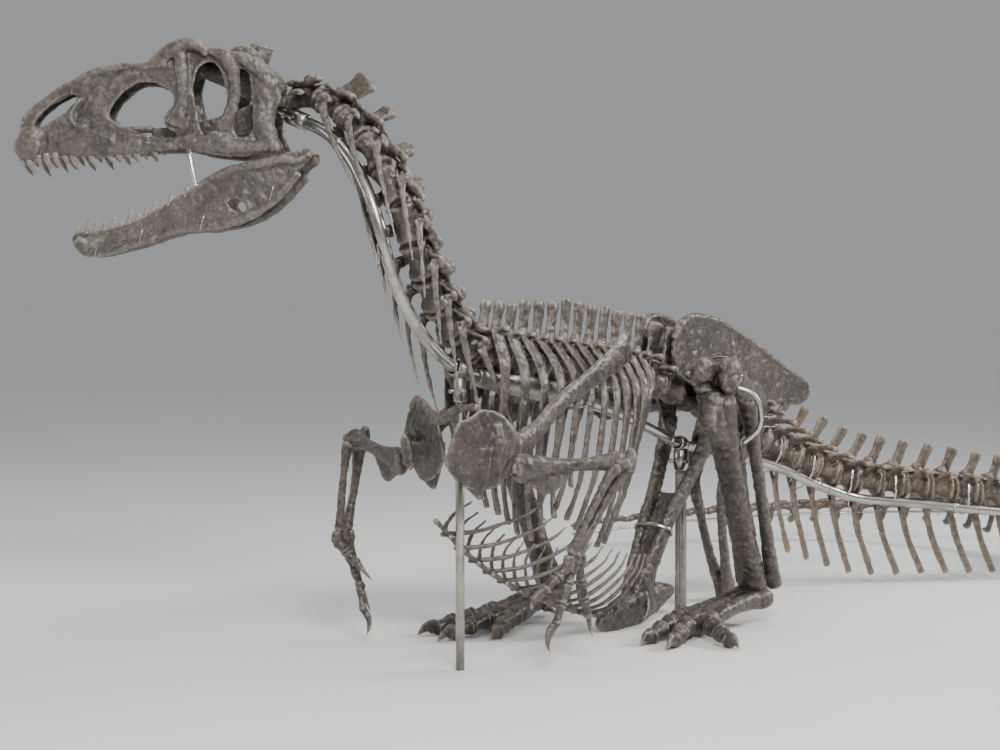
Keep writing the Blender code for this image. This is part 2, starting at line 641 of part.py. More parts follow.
def make_scapula(side):
    """Shoulder blade with the coracoid plate in front of it."""
    if side == "left":
        blade = [(-1.215, -0.140, 0.530), (-1.150, -0.158, 0.548), (-1.060, -0.155, 0.592),
                 (-0.945, -0.152, 0.655),
                 (-0.820, -0.155, 0.705), (-0.700, -0.155, 0.755), (-0.625, -0.152, 0.792)]
        plate = [(-1.150, -0.160, 0.548), (-1.205, -0.140, 0.552), (-1.265, -0.112, 0.556),
                 (-1.318, -0.086, 0.572)]
    else:
        blade = [(-1.170, 0.160, 0.530), (-1.110, 0.178, 0.548), (-1.030, 0.170, 0.592),
                 (-0.915, 0.160, 0.655),
                 (-0.790, 0.158, 0.705), (-0.670, 0.156, 0.755), (-0.595, 0.152, 0.792)]
        plate = [(-1.110, 0.196, 0.548), (-1.128, 0.165, 0.552), (-1.146, 0.115, 0.556),
                 (-1.156, 0.064, 0.565)]
    out = (0.0, -1.0, 0.0) if side == "left" else (0.0, 1.0, 0.0)
    pieces = [bar(blade, [(0.052, 0.016), (0.046, 0.016), (0.030, 0.013), (0.028, 0.011), (0.034, 0.010),
                          (0.046, 0.009), (0.040, 0.007)], up=out, sides=8)]
    facing = (-0.7, -0.7, 0.0) if side == "left" else (-0.95, -0.3, 0.0)
    pieces.append(bar(plate, [(0.040, 0.018), (0.092, 0.015), (0.096, 0.012), (0.055, 0.009)], up=facing,
                      sides=8))
    hook = Vector(plate[2]) + Vector((0.010, 0.0, -0.070))
    pieces.append(bar([Vector(plate[2]), hook, hook + Vector((0.020, 0.004, -0.045))],
                      [(0.050, 0.013), (0.036, 0.011), (0.012, 0.008)], up=facing, sides=6))
    return pieces


def make_furcula():
    points = [(-1.165, 0.150, 0.640), (-1.192, 0.110, 0.666), (-1.222, 0.050, 0.640),
              (-1.240, 0.004, 0.622),
              (-1.240, -0.050, 0.650), (-1.240, -0.105, 0.655)]
    return [round_bar(points, [0.008, 0.009, 0.010, 0.013, 0.010, 0.008])]


def make_ilium(side):
    s = -1 if side == "left" else 1
    rows = [(-0.180, 0.060, 0.775, 0.075, 0.010), (-0.120, 0.068, 0.765, 0.098, 0.012),
            (0.0, 0.080, 0.735, 0.115, 0.014),
            (0.120, 0.092, 0.700, 0.108, 0.015), (0.240, 0.112, 0.668, 0.080, 0.013),
            (0.340, 0.130, 0.645, 0.060, 0.012),
            (0.430, 0.142, 0.625, 0.040, 0.010)]
    blade = bar([(x, s * y, z) for x, y, z, _, _ in rows],
                [(thick, deep) for _, _, _, deep, thick in rows], sides=8)
    front = bar([(-0.020, s * 0.082, 0.690), (-0.030, s * 0.078, 0.590), (-0.035, s * 0.072, 0.540)],
                [(0.016, 0.050), (0.020, 0.036), (0.022, 0.032)], up=(1.0, 0.0, 0.0))
    rear = bar([(0.190, s * 0.100, 0.670), (0.225, s * 0.100, 0.580), (0.235, s * 0.092, 0.520)],
               [(0.016, 0.050), (0.020, 0.034), (0.022, 0.030)], up=(1.0, 0.0, 0.0))
    rim = bar([(-0.040, s * 0.092, 0.660), (0.050, s * 0.112, 0.672), (0.100, s * 0.116, 0.674),
               (0.150, s * 0.114, 0.664),
               (0.215, s * 0.104, 0.640)], [(0.016, 0.014)] * 5)
    return [blade, front, rear, rim]


def make_pubis():
    pieces = []
    for s in (1, -1):
        points = [(-0.020, s * 0.072, 0.565), (-0.055, s * 0.066, 0.480), (-0.120, s * 0.052, 0.390),
                  (-0.225, s * 0.034, 0.255),
                  (-0.300, s * 0.022, 0.130), (-0.335, s * 0.014, 0.050)]
        pieces.append(bar(points, [(0.022, 0.040), (0.020, 0.036), (0.020, 0.026), (0.020, 0.027),
                                   (0.020, 0.034),
                                   (0.020, 0.050)], up=(1.0, 0.0, 0.0)))
    apron = bar([(-0.130, 0.0, 0.350), (-0.235, 0.0, 0.245), (-0.305, 0.0, 0.130)],
                [(0.052, 0.008), (0.040, 0.010), (0.030, 0.014)], up=(1.0, 0.0, 0.3))
    boot = bar([(-0.512, 0.0, 0.030), (-0.460, 0.0, 0.032), (-0.370, 0.0, 0.046), (-0.290, 0.0, 0.056),
                (-0.200, 0.0, 0.066),
                (-0.130, 0.0, 0.072)], [(0.014, 0.022), (0.026, 0.036), (0.034, 0.052), (0.034, 0.052),
                                        (0.026, 0.036),
                                        (0.012, 0.016)], sides=8)
    return pieces + [apron, boot]


def make_ischium():
    pieces = []
    for s in (1, -1):
        points = [(0.225, s * 0.088, 0.525), (0.165, s * 0.074, 0.455), (0.100, s * 0.055, 0.385),
                  (0.110, s * 0.036, 0.270),
                  (0.155, s * 0.024, 0.130), (0.195, s * 0.010, 0.045), (0.205, s * 0.010, -0.004)]
        pieces.append(bar(points, [(0.018, 0.032), (0.014, 0.044), (0.014, 0.040), (0.014, 0.018),
                                   (0.015, 0.016),
                                   (0.018, 0.034), (0.016, 0.030)], up=(1.0, 0.0, 0.0)))
    return pieces


def toward(start, end, t):
    return Vector(start).lerp(Vector(end), t)


def make_femur(side):
    hip, knee = Vector(HIP[side]), Vector(KNEE[side])
    s = -1 if side == "left" else 1
    neck = hip + Vector((0.0, s * 0.060, 0.004))
    shaft = [neck, neck.lerp(knee, 0.15), neck.lerp(knee, 0.5) + Vector((0.0, 0.0, 0.018)),
             neck.lerp(knee, 0.85), knee]
    pieces = [round_bar(shaft, [0.044, 0.042, 0.034, 0.040, 0.050], sides=8),
              round_bar([hip, neck], [0.036, 0.040], sides=8)]
    across = (knee - neck).cross(Vector((0.0, 0.0, 1.0))).normalized()
    along = (knee - neck).normalized()
    for shift in (-0.034, 0.034):
        core = knee + across * shift
        pieces.append(round_bar([core - along * 0.050, core - along * 0.010 + Vector((0.0, 0.0, -0.016)),
                                 core + along * 0.022],
                                [0.026, 0.036, 0.022], sides=8))
    return pieces


def make_tibia(side):
    top, ankle = Vector(SHIN_TOP[side]), Vector(ANKLE[side])
    points = [top, toward(top, ankle, 0.10), toward(top, ankle, 0.30), toward(top, ankle, 0.60),
              toward(top, ankle, 0.88), ankle]
    pieces = [bar(points, [(0.038, 0.066), (0.036, 0.060), (0.032, 0.046), (0.030, 0.042), (0.036, 0.048),
                           (0.036, 0.048)],
                  up=(0.3, 1.0, 0.0), sides=8)]
    crest_out = Vector((-0.052, -0.004, -0.030))
    pieces.append(bar([top + crest_out * 0.2, top + crest_out + Vector((0.0, 0.0, -0.030)),
                       toward(top, ankle, 0.26)],
                      [(0.020, 0.030), (0.016, 0.034), (0.012, 0.016)], up=(0.3, 1.0, 0.0)))
    return pieces


def make_fibula(side):
    s = -1 if side == "left" else 1
    top, ankle = Vector(SHIN_TOP[side]), Vector(ANKLE[side])
    out = Vector((0.052, s * 0.060, 0.0))
    points = [top + out + Vector((0.0, 0.0, -0.006)), toward(top, ankle, 0.12) + out,
              toward(top, ankle, 0.5) + out * 0.92,
              toward(top, ankle, 0.88) + out * 0.80, ankle + out * 0.74 + Vector((0.0, 0.0, 0.008))]
    return [bar(points, [(0.016, 0.032), (0.016, 0.024), (0.014, 0.019), (0.018, 0.024), (0.022, 0.028)],
                up=(0.3, 1.0, 0.0), sides=6)]


def digit(start, end, radius, count, arch, claw, up=(0.0, 0.0, 1.0)):
    """A row of finger or toe bones, waisted at mid length, with a hooked claw at its end."""
    start, end = Vector(start), Vector(end)
    rise = Vector((0.0, 0.0, arch))
    stops = count * 2
    points = []
    radii = []
    body_end = 1.0 - claw
    for k in range(stops + 1):
        t = body_end * k / stops
        points.append(start.lerp(end, t) + rise * 4 * t * (1 - t))
        size = radius * (1.0 - 0.35 * t)
        radii.append(size if k % 2 == 0 else size * 0.68)
    points.append(start.lerp(end, 1.0 - claw * 0.55) + rise * 1.6 * (1 - body_end))
    radii.append(radius * 0.55)
    points.append(end)
    radii.append(radius * 0.16)
    return round_bar(points, radii, up=up, sides=6)


def make_foot(side):
    """Metatarsals, three long toes with claws, and the small inner toe."""
    s = -1 if side == "left" else 1
    ankle, base = Vector(ANKLE[side]), Vector(TOE_BASE[side])
    across = Vector((0.0, 0.0, 1.0)).cross(base - ankle).normalized()
    under = ankle + Vector((0.0, 0.0, -0.030))
    pieces = [round_bar([under - across * 0.046, ankle + Vector((0.0, 0.0, -0.034)), under + across * 0.046],
                        [0.028, 0.032, 0.028], sides=8)]
    order = (1, 0, -1) if side == "right" else (-1, 0, 1)
    for place, tip in zip(order, TOE_TIPS[side]):
        head_of_toe = base + across * 0.038 * place
        heel = ankle + across * 0.022 * place + Vector((0.0, 0.0, -0.030))
        mid = heel.lerp(head_of_toe, 0.5) + Vector((0.0, 0.0, 0.006))
        pieces.append(round_bar([heel, mid, head_of_toe.lerp(heel, 0.12), head_of_toe],
                                [0.029, 0.023, 0.028, 0.029]))
        pieces.append(digit(head_of_toe, (tip[0], tip[1], 0.006), 0.028, 3, 0.004, 0.24))
    inner = ankle.lerp(base, 0.45) + Vector((0.0, -s * 0.020, -0.010))
    pieces.append(digit(inner, inner + Vector((0.030, -s * 0.060, -0.042)), 0.013, 1, 0.004, 0.45))
    return pieces


def make_humerus(side):
    shoulder, elbow = Vector(SHOULDER[side]), Vector(ELBOW[side])
    points = [shoulder, shoulder.lerp(elbow, 0.14), shoulder.lerp(elbow, 0.45),
              shoulder.lerp(elbow, 0.82), elbow]
    pieces = [bar(points, [(0.020, 0.034), (0.022, 0.034), (0.017, 0.020), (0.018, 0.020),
                           (0.022, 0.026)], sides=8)]
    low = Vector((0.0, 0.0, -1.0))
    pieces.append(bar([shoulder.lerp(elbow, 0.10) + low * 0.010, shoulder.lerp(elbow, 0.30) + low * 0.042,
                       shoulder.lerp(elbow, 0.46) + low * 0.014],
                      [(0.010, 0.024), (0.009, 0.024), (0.010, 0.010)]))
    return pieces


def make_forearm(side, bone):
    elbow, wrist = Vector(ELBOW[side]), Vector(WRIST[side])
    shift = Vector((0.036, 0.006, 0.0)) if bone == "ulna" else Vector((-0.030, -0.004, 0.0))
    points = [elbow + shift + Vector((0.0, 0.0, -0.014)), elbow.lerp(wrist, 0.2) + shift,
              elbow.lerp(wrist, 0.55) + shift,
              wrist + shift * 0.55]
    sizes = [0.024, 0.017, 0.013, 0.018] if bone == "ulna" else [0.017, 0.013, 0.012, 0.016]
    pieces = [round_bar(points, sizes)]
    if bone == "ulna":
        pieces.append(round_bar([points[0], points[0] + Vector((0.020, 0.0, 0.030))], [0.020, 0.014]))
    return pieces


def make_hand(side):
    """Wrist bones and three clawed fingers, the first with the largest claw."""
    wrist = Vector(WRIST[side])
    block = wrist + Vector((0.0, 0.0, -0.022))
    pieces = [bar([block + Vector((-0.036, 0.0, 0.0)), block, block + Vector((0.034, 0.0, 0.0))],
                  [(0.018, 0.018), (0.020, 0.022), (0.018, 0.018)])]
    for k, tip in enumerate(FINGER_TIPS[side]):
        root = block + Vector((-0.024 + 0.024 * k, 0.0, -0.006))
        pieces.append(digit(root, tip, (0.016, 0.015, 0.012)[k], (2, 3, 3)[k], 0.0, (0.42, 0.34, 0.26)[k],
                            up=(0.0, 1.0, 0.0)))
    return pieces


def make_gastralia():
    """Belly ribs: V-shaped rows on a keel of overlapping inner ends."""
    keel = [(-1.215, 0.038, 0.372), (-1.10, 0.020, 0.275), (-0.95, 0.0, 0.185), (-0.78, 0.0, 0.120),
            (-0.62, 0.0, 0.070),
            (-0.500, 0.0, 0.045)]
    places = curve_points(keel, 12)
    pieces = [round_bar([p for p, _ in places], [0.007] * 12, sides=5)]
    for i, (p, _) in enumerate(places[1:-1]):
        t = i / 9
        wide = 0.050 + 0.085 * math.sin(math.pi * (0.20 + 0.62 * t))
        rise = 0.050 + 0.095 * t
        sweep = 0.240 - 0.120 * t
        for s in (1, -1):
            points = [p, p + Vector((sweep * 0.25, s * wide * 0.55, rise * 0.20)),
                      p + Vector((sweep * 0.70, s * wide, rise * 0.72)),
                      p + Vector((sweep, s * wide * 1.04, rise * 1.10))]
            pieces.append(round_bar(points, [0.006, 0.0055, 0.0045, 0.003], sides=4))
    return pieces


# Steel mount

def make_tube():
    places = curve_points(TUBE_PATH, 34)
    return [round_bar([p for p, _ in places], [TUBE_RADIUS] * 34, up=(0.2, 1.0, 0.3), sides=7)]


def make_post(place, top, radius):
    bm = bmesh.new()
    bmesh.ops.create_cone(bm, cap_ends=True, segments=12, radius1=radius, radius2=radius, depth=top)
    bmesh.ops.translate(bm, verts=bm.verts, vec=(place[0], place[1], top / 2))
    return [mesh_object("piece", bm)]


def make_jaw_rod():
    top = head(0.246, breadth_at(0.246) - 0.010, 0.062)
    mid = head(0.236, breadth_at(0.236) - 0.022, 0.0)
    low = head(0.214, breadth_at(0.214) - 0.006, -0.090)
    return [round_bar([top, mid, low], [0.006] * 3, up=SKULL_LEFT)]


def main():
    for old in list(bpy.data.objects):
        bpy.data.objects.remove(old)
    parts = bpy.data.collections.new("mounted_dinosaur_skeleton")
    bpy.context.scene.collection.children.link(parts)
    dark = material("bone_dark", (0.090, 0.078, 0.068), 0.45, 0.0)
    brown = material("bone_brown", (0.170, 0.130, 0.098), 0.45, 0.0)
    steel = material("steel", (0.52, 0.50, 0.47), 0.30, 1.0)

    nodes = []

    def add(name, pieces, finish):
        nodes.append(fuse(name, pieces, finish, parts))

    add("stand_tube", make_tube(), steel)
    add("stand_post_front", make_post(POST_FRONT, POST_FRONT_TOP, POST_FRONT_RADIUS), steel)
    add("stand_post_rear", make_post(POST_REAR, POST_REAR_TOP, POST_REAR_RADIUS), steel)
    add("stand_jaw_rod", make_jaw_rod(), steel)
    add("skull", make_skull(), dark)
    add("lower_jaw", make_lower_jaw(), dark)
    add("neck_upper", make_neck(0, NECK_COUNT // 2), dark)
    add("neck_lower", make_neck(NECK_COUNT // 2, NECK_COUNT), dark)
    for side, sign in (("left", -1), ("right", 1)):
        add("trunk_" + side, make_trunk(sign), dark)
        half_cut(nodes[-1], sign)
    add("sacrum", make_sacrum(), dark)
    edges = (0,) + TAIL_SPLITS + (TAIL_COUNT,)
    for k, (first, last) in enumerate(zip(edges, edges[1:])):
        add("tail_%d" % (k + 1), make_tail(first, last), brown)
    for side in ("left", "right"):
        add("ilium_" + side, make_ilium(side), dark)
    add("pubis", make_pubis(), dark)
    add("ischium", make_ischium(), dark)
    for side in ("left", "right"):
        add("scapula_" + side, make_scapula(side), dark)
    add("furcula", make_furcula(), dark)
    for side in ("left", "right"):
        add("femur_" + side, make_femur(side), dark)
        add("tibia_" + side, make_tibia(side), dark)
        add("fibula_" + side, make_fibula(side), dark)
        add("foot_" + side, make_foot(side), dark)
        add("humerus_" + side, make_humerus(side), dark)
        add("ulna_" + side, make_forearm(side, "ulna"), dark)
        add("radius_" + side, make_forearm(side, "radius"), dark)
        add("hand_" + side, make_hand(side), dark)
    add("gastralia", make_gastralia(), dark)

    for i, node in enumerate(nodes):
        trim_to_floor(node)
        clear_of(node, nodes[:i])

    low = Vector([min(bounds(n)[0][i] for n in nodes) for i in range(3)])
    high = Vector([max(bounds(n)[1][i] for n in nodes) for i in range(3)])
    centre = (low + high) / 2
    shift = Vector((-centre.x, -centre.y, 0.0))
    for node in nodes:
        for vert in node.data.vertices:
            vert.co += shift
        node.data.update()
    print("triangles", sum(len(node.data.polygons) for node in nodes))


main()
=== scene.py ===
# %% [markdown]
# # A crouching dinosaur skeleton on its steel mount
#
# The object is a museum mount: the fossil bones of a large meat-eating dinosaur, lying low with
# its neck raised and its jaws open, carried by one bent steel tube on two posts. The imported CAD
# solids give every bone its place. This lesson gives each bone its real surface.
#
# The tables of points below count from a spot on the floor under the hips, with the head towards
# minus x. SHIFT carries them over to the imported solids, so that the front posts of both agree.

# %% The frame, and where the model stands in it
import math

import bmesh
import bpy
import numpy as np
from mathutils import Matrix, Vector


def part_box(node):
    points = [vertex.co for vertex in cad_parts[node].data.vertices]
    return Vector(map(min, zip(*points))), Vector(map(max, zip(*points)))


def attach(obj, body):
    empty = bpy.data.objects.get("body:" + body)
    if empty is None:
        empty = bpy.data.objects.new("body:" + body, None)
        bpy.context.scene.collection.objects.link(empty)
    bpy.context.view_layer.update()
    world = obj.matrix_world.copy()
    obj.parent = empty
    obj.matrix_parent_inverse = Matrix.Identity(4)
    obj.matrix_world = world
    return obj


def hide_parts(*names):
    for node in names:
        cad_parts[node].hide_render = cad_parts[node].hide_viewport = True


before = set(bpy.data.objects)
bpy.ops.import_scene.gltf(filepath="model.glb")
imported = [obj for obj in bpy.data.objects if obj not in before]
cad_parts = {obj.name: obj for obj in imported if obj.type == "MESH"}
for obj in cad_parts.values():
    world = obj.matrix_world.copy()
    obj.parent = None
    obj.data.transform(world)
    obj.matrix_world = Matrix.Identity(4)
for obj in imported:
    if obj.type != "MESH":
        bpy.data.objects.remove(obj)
BODY = "root"
FRONT_POST_X = -1.165
SIDES = ((-1, "left"), (1, "right"))
UP = Vector((0.0, 0.0, 1.0))
LENGTHWISE = Vector((1.0, 0.0, 0.0))
CROSSWISE = Vector((0.0, 1.0, 0.0))
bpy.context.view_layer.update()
post_low, post_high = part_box("stand_post_front")
SHIFT = Vector(
    ((post_low[0] + post_high[0]) / 2 - FRONT_POST_X, (post_low[1] + post_high[1]) / 2, 0.0))
print("nodes", len(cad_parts), "shift", [round(v, 4) for v in SHIFT])

# %% [markdown]
# ## Camera and light
#
# The camera stands as far from the animal as in the picture, just under a metre up, and looks a
# little down. A long lens keeps the far tail from shrinking too much. Four soft lamps stand round
# the mount. The rim lamp, behind its left side, runs a highlight along each bone. A weak, very
# broad daylight brings the far floor up to the tone of the pale world, so that no horizon shows.

# %% Camera and lamps
CAMERA_PLACE = Vector((-5.132, -2.874, 0.931))
LOOK = Vector((0.8214, 0.5703, -math.tan(math.radians(2.376))))
LENS_MM = 72.0
SENSOR_MM = 36.0
MIDDLE = (-0.5, 0.1, 0.6)


def linked(name, data):
    """A new object that holds the data and is in the scene."""
    obj = bpy.data.objects.new(name, data)
    bpy.context.scene.collection.objects.link(obj)
    return obj


camera = linked("camera", bpy.data.cameras.new("camera"))
camera.location = CAMERA_PLACE + SHIFT
camera.rotation_euler = LOOK.to_track_quat("-Z", "Y").to_euler()
camera.data.lens = LENS_MM
camera.data.sensor_width = SENSOR_MM
bpy.context.scene.camera = camera


def lamp(name, place, size, power, color):
    """A soft rectangular lamp that faces the middle of the mount."""
    light = bpy.data.lights.new(name, "AREA")
    light.shape = "RECTANGLE"
    light.size = size[0]
    light.size_y = size[1]
    light.energy = power
    light.color = color
    made = linked(name, light)
    made.location = Vector(place) + SHIFT
    made.rotation_euler = (Vector(MIDDLE) - Vector(place)).to_track_quat("-Z", "Y").to_euler()


lamp("key", (-4.2, -3.2, 3.6), (1.5, 1.1), 330.0, (1.0, 0.97, 0.93))
lamp("fill", (-3.4, 3.6, 2.2), (2.6, 1.8), 50.0, (0.93, 0.96, 1.0))
lamp("rim", (2.6, -3.4, 2.8), (1.6, 1.0), 260.0, (1.0, 0.98, 0.95))
lamp("top", (-0.3, 0.4, 4.4), (3.6, 2.4), 80.0, (1.0, 1.0, 1.0))
daylight = bpy.data.lights.new("daylight", "SUN")
daylight.energy = 0.6
daylight.angle = 0.9
linked("daylight", daylight).rotation_euler = (math.radians(28.0), math.radians(-22.0), 0.0)
world = bpy.data.worlds.new("studio")
world.use_nodes = True
world.node_tree.nodes["Background"].inputs["Color"].default_value = (0.8, 0.82, 0.85, 1.0)
world.node_tree.nodes["Background"].inputs["Strength"].default_value = 0.42
bpy.context.scene.world = world

# %% [markdown]
# ## Writing shaders as sums
#
# Bone and steel get their look from formulas over the surface, with no pictures. A small class
# wraps a socket, so that a sum on values adds its own Math nodes, and one method adds any other
# node. Colours are mixed by Mix nodes, since a Math node would turn them grey.

# %% A socket that can be added and multiplied
class Value:
    """A shader socket that +, - and * can act on."""

    def __init__(self, finish, socket):
        self.finish = finish
        self.socket = socket

    def maths(self, operation, first, second):
        return self.finish.node("ShaderNodeMath", {"operation": operation}, {0: first, 1: second})

    def __add__(self, other):
        return self.maths("ADD", self, other)

    __radd__ = __add__

    def __sub__(self, other):
        return self.maths("SUBTRACT", self, other)

    def __rsub__(self, other):
        return self.maths("SUBTRACT", other, self)

    def __mul__(self, other):
        return self.maths("MULTIPLY", self, other)


class Finish:
    """A material whose shader is written as expressions."""

    def __init__(self, name, roughness, metallic):
        self.material = bpy.data.materials.new(name)
        self.material.use_nodes = True
        self.tree = self.material.node_tree
        self.shader = self.tree.nodes["Principled BSDF"]
        self.shader.inputs["Roughness"].default_value = roughness
        self.shader.inputs["Metallic"].default_value = metallic

    def feed(self, socket, value):
        if isinstance(value, Value):
            self.tree.links.new(value.socket, socket)
        elif isinstance(value, tuple) and len(value) == 3 and socket.type == "RGBA":
            socket.default_value = (*value, 1.0)
        else:
            socket.default_value = value

    def node(self, kind, settings, sockets, output=0):
        made = self.tree.nodes.new(kind)
        for key, value in settings.items():
            setattr(made, key, value)
        for key, value in sockets.items():
            self.feed(made.inputs[key], value)
        return Value(self, made.outputs[output])

    def place(self):
        return self.node("ShaderNodeTexCoord", {}, {}, "Object")

    def noise(self, place, scale, detail=4.0, roughness=0.55, distortion=0.0):
        return self.node(
            "ShaderNodeTexNoise", {},
            {
                "Vector": place, "Scale": scale, "Detail": detail, "Roughness": roughness,
                "Distortion": distortion},
            "Fac")

    def cells(self, place, scale, feature="F1"):
        return self.node(
            "ShaderNodeTexVoronoi", {"feature": feature}, {"Vector": place, "Scale": scale}, "Distance")

    def between(self, value, low, high):
        """0 below low, 1 above high, smooth between."""
        return self.node(
            "ShaderNodeMapRange", {"interpolation_type": "SMOOTHSTEP"},
            {"Value": value, "From Min": low, "From Max": high})

    def mix(self, share, first, second, blend="MIX"):
        return self.node(
            "ShaderNodeMix", {"data_type": "RGBA", "blend_type": blend},
            {0: share, 6: first, 7: second}, 2)

    def stretch(self, place, scale):
        return self.node("ShaderNodeVectorMath", {"operation": "MULTIPLY"}, {0: place, 1: scale})

    def colour(self, value):
        self.feed(self.shader.inputs["Base Color"], value)

    def bump(self, height, strength, distance):
        bumped = self.node(
            "ShaderNodeBump", {}, {"Strength": strength, "Distance": distance, "Height": height})
        self.feed(self.shader.inputs["Normal"], bumped)


print("shader maths ready")

# %% [markdown]
# ## Fossil bone
#
# The bones are dark brown-grey and waxed: near black in the cracks and in the speckle's low spots, worn
# paler on every edge, with dull ochre stains and mottled pale mineral spots. Painted shade darkens
# every hollow to near black. Edge wear and the painted shade both come from the mesh's own
# pointiness. The tail is browner, the skull and jaw are paler, and the teeth are the glossiest.

# %% Bone finishes
def bone_finish(name, dark, middle, pale, stain, gloss):
    made = Finish(name, gloss, 0.0)
    place = made.place()
    broad = made.noise(place, 3.2, 4.0, 0.6)
    patch = made.noise(place, 15.0, 7.0, 0.62, 0.4)
    speck = made.noise(place, 85.0, 8.0, 0.72)
    grain = made.noise(place, 330.0, 5.0, 0.6)
    crack = made.cells(place, 26.0, "DISTANCE_TO_EDGE")
    pits = made.cells(place, 150.0)
    worn = made.between(made.node("ShaderNodeNewGeometry", {}, {}, "Pointiness"), 0.5, 0.6)
    # This mask is 0 in the mesh's hollows and 1 on open surface; the painted shade below uses it.
    clear_of_painted_shade = made.between(made.node("ShaderNodeNewGeometry", {}, {}, "Pointiness"), 0.4, 0.5)
    colour = made.mix(made.between(patch, 0.34, 0.66), dark, middle)
    colour = made.mix(made.between(broad, 0.46, 0.72) * 0.55, colour, stain)
    colour = made.mix(made.between(speck, 0.54, 0.72) * 0.42, colour, pale)
    colour = made.mix(made.between(grain, 0.6, 0.8) * 0.3, colour, pale)
    colour = made.mix(made.between(speck, 0.48, 0.3) * 0.7, colour, tuple(0.35 * c for c in dark))
    seam = made.between(crack, 0.022, 0.004) * made.between(patch, 0.44, 0.56)
    colour = made.mix(seam * 0.75, colour, tuple(0.3 * c for c in dark))
    colour = made.mix(worn * 0.8, colour, pale)
    # Painted shade: the mesh's hollows are darkened towards near black.
    colour = made.mix((1.0 - clear_of_painted_shade) * 0.9, colour, tuple(0.3 * c for c in dark))
    made.colour(colour)
    made.feed(
        made.shader.inputs["Roughness"],
        gloss + made.between(patch, 0.3, 0.7) * 0.14 + made.between(speck, 0.4, 0.7) * 0.1 - worn * 0.1)
    height = speck * 0.55 + grain * 0.25 + made.between(pits, 0.0, 0.35) * 0.25 - seam * 0.5
    made.bump(height + patch * 1.2, 0.6, 0.003)
    return made.material


BONE = bone_finish(
    "fossil_bone", (0.018, 0.015, 0.012), (0.056, 0.046, 0.038), (0.3, 0.262, 0.22),
    (0.088, 0.064, 0.045), 0.26)
TAIL_BONE = bone_finish(
    "tail_bone", (0.036, 0.027, 0.02), (0.1, 0.075, 0.055), (0.32, 0.262, 0.205), (0.14, 0.096, 0.062),
    0.26)
PALE_BONE = bone_finish(
    "pale_bone", (0.036, 0.032, 0.028), (0.092, 0.081, 0.07), (0.33, 0.3, 0.262), (0.11, 0.086, 0.064),
    0.27)
TOOTH = bone_finish(
    "tooth_enamel", (0.04, 0.036, 0.032), (0.11, 0.098, 0.086), (0.36, 0.33, 0.295),
    (0.11, 0.086, 0.064), 0.18)
print("bone finishes", 4)

# %% [markdown]
# ## Worn steel
#
# The tube, posts, rods and straps are bare steel: bright in places, with fine scratches, clouds of
# grey mill scale and a little brown rust. The small fittings are brighter and less rusty.

# %% Steel finish
def steel_finish(name, bright, scale_grey, rust, rust_share):
    made = Finish(name, 0.28, 1.0)
    place = made.place()
    cloud = made.noise(place, 9.0, 6.0, 0.6, 0.3)
    fine = made.noise(place, 160.0, 5.0, 0.6)
    streak = made.noise(made.stretch(place, (40.0, 40.0, 420.0)), 1.0, 3.0, 0.5)
    scaled = made.between(cloud, 0.46, 0.62)
    rusty = made.between(made.noise(place, 22.0, 8.0, 0.68, 0.5), 0.6, 0.72) * rust_share
    colour = made.mix(scaled * 0.6, bright, scale_grey)
    colour = made.mix(rusty, colour, rust)
    made.colour(colour)
    made.feed(made.shader.inputs["Metallic"], 1.0 - rusty * 0.7)
    made.feed(made.shader.inputs["Roughness"], 0.2 + scaled * 0.16 + rusty * 0.3 + fine * 0.1)
    made.bump(streak * 0.4 + fine * 0.6, 0.25, 0.0006)
    return made.material


STEEL = steel_finish("worn_steel", (0.4, 0.385, 0.36), (0.2, 0.19, 0.175), (0.12, 0.065, 0.036), 0.8)
BRIGHT_STEEL = steel_finish(
    "bright_steel", (0.46, 0.45, 0.43), (0.28, 0.27, 0.25), (0.18, 0.1, 0.055), 0.25)
print("steel finishes", 2)

# %% [markdown]
# ## Lofted bones
#
# Almost every bone is a bar whose section swells and thins along a path. `bar` runs a smooth curve
# through a few stations and rounds off both ends. A bone is several such bars in one mesh. A voxel
# remesh then melts them into one skin, the way real processes flow out of a shaft. Three
# displacements roughen it, from broad swellings down to fine crumbs, and a last step thins out
# faces that are not needed. That keeps the design in a few named sizes.

# %% Bars, plates and how a bone is finished
THINNEST = 0.0006


def smooth_rows(rows, steps):
    """Rows of numbers, with a smooth curve's rows between them."""
    rows = [np.array(r, dtype=float) for r in rows]
    ends = [2 * rows[0] - rows[1]] + rows + [2 * rows[-1] - rows[-2]]
    out = []
    for i in range(1, len(ends) - 2):
        a, b, c, d = ends[i - 1:i + 3]
        for k in range(steps):
            t = k / steps
            straight = (c - a) * t
            square = (2 * a - 5 * b + 4 * c - d) * t * t
            cube = (3 * b - a - 3 * c + d) * t ** 3
            out.append(0.5 * (2 * b + straight + square + cube))
    out.append(rows[-1])
    return out


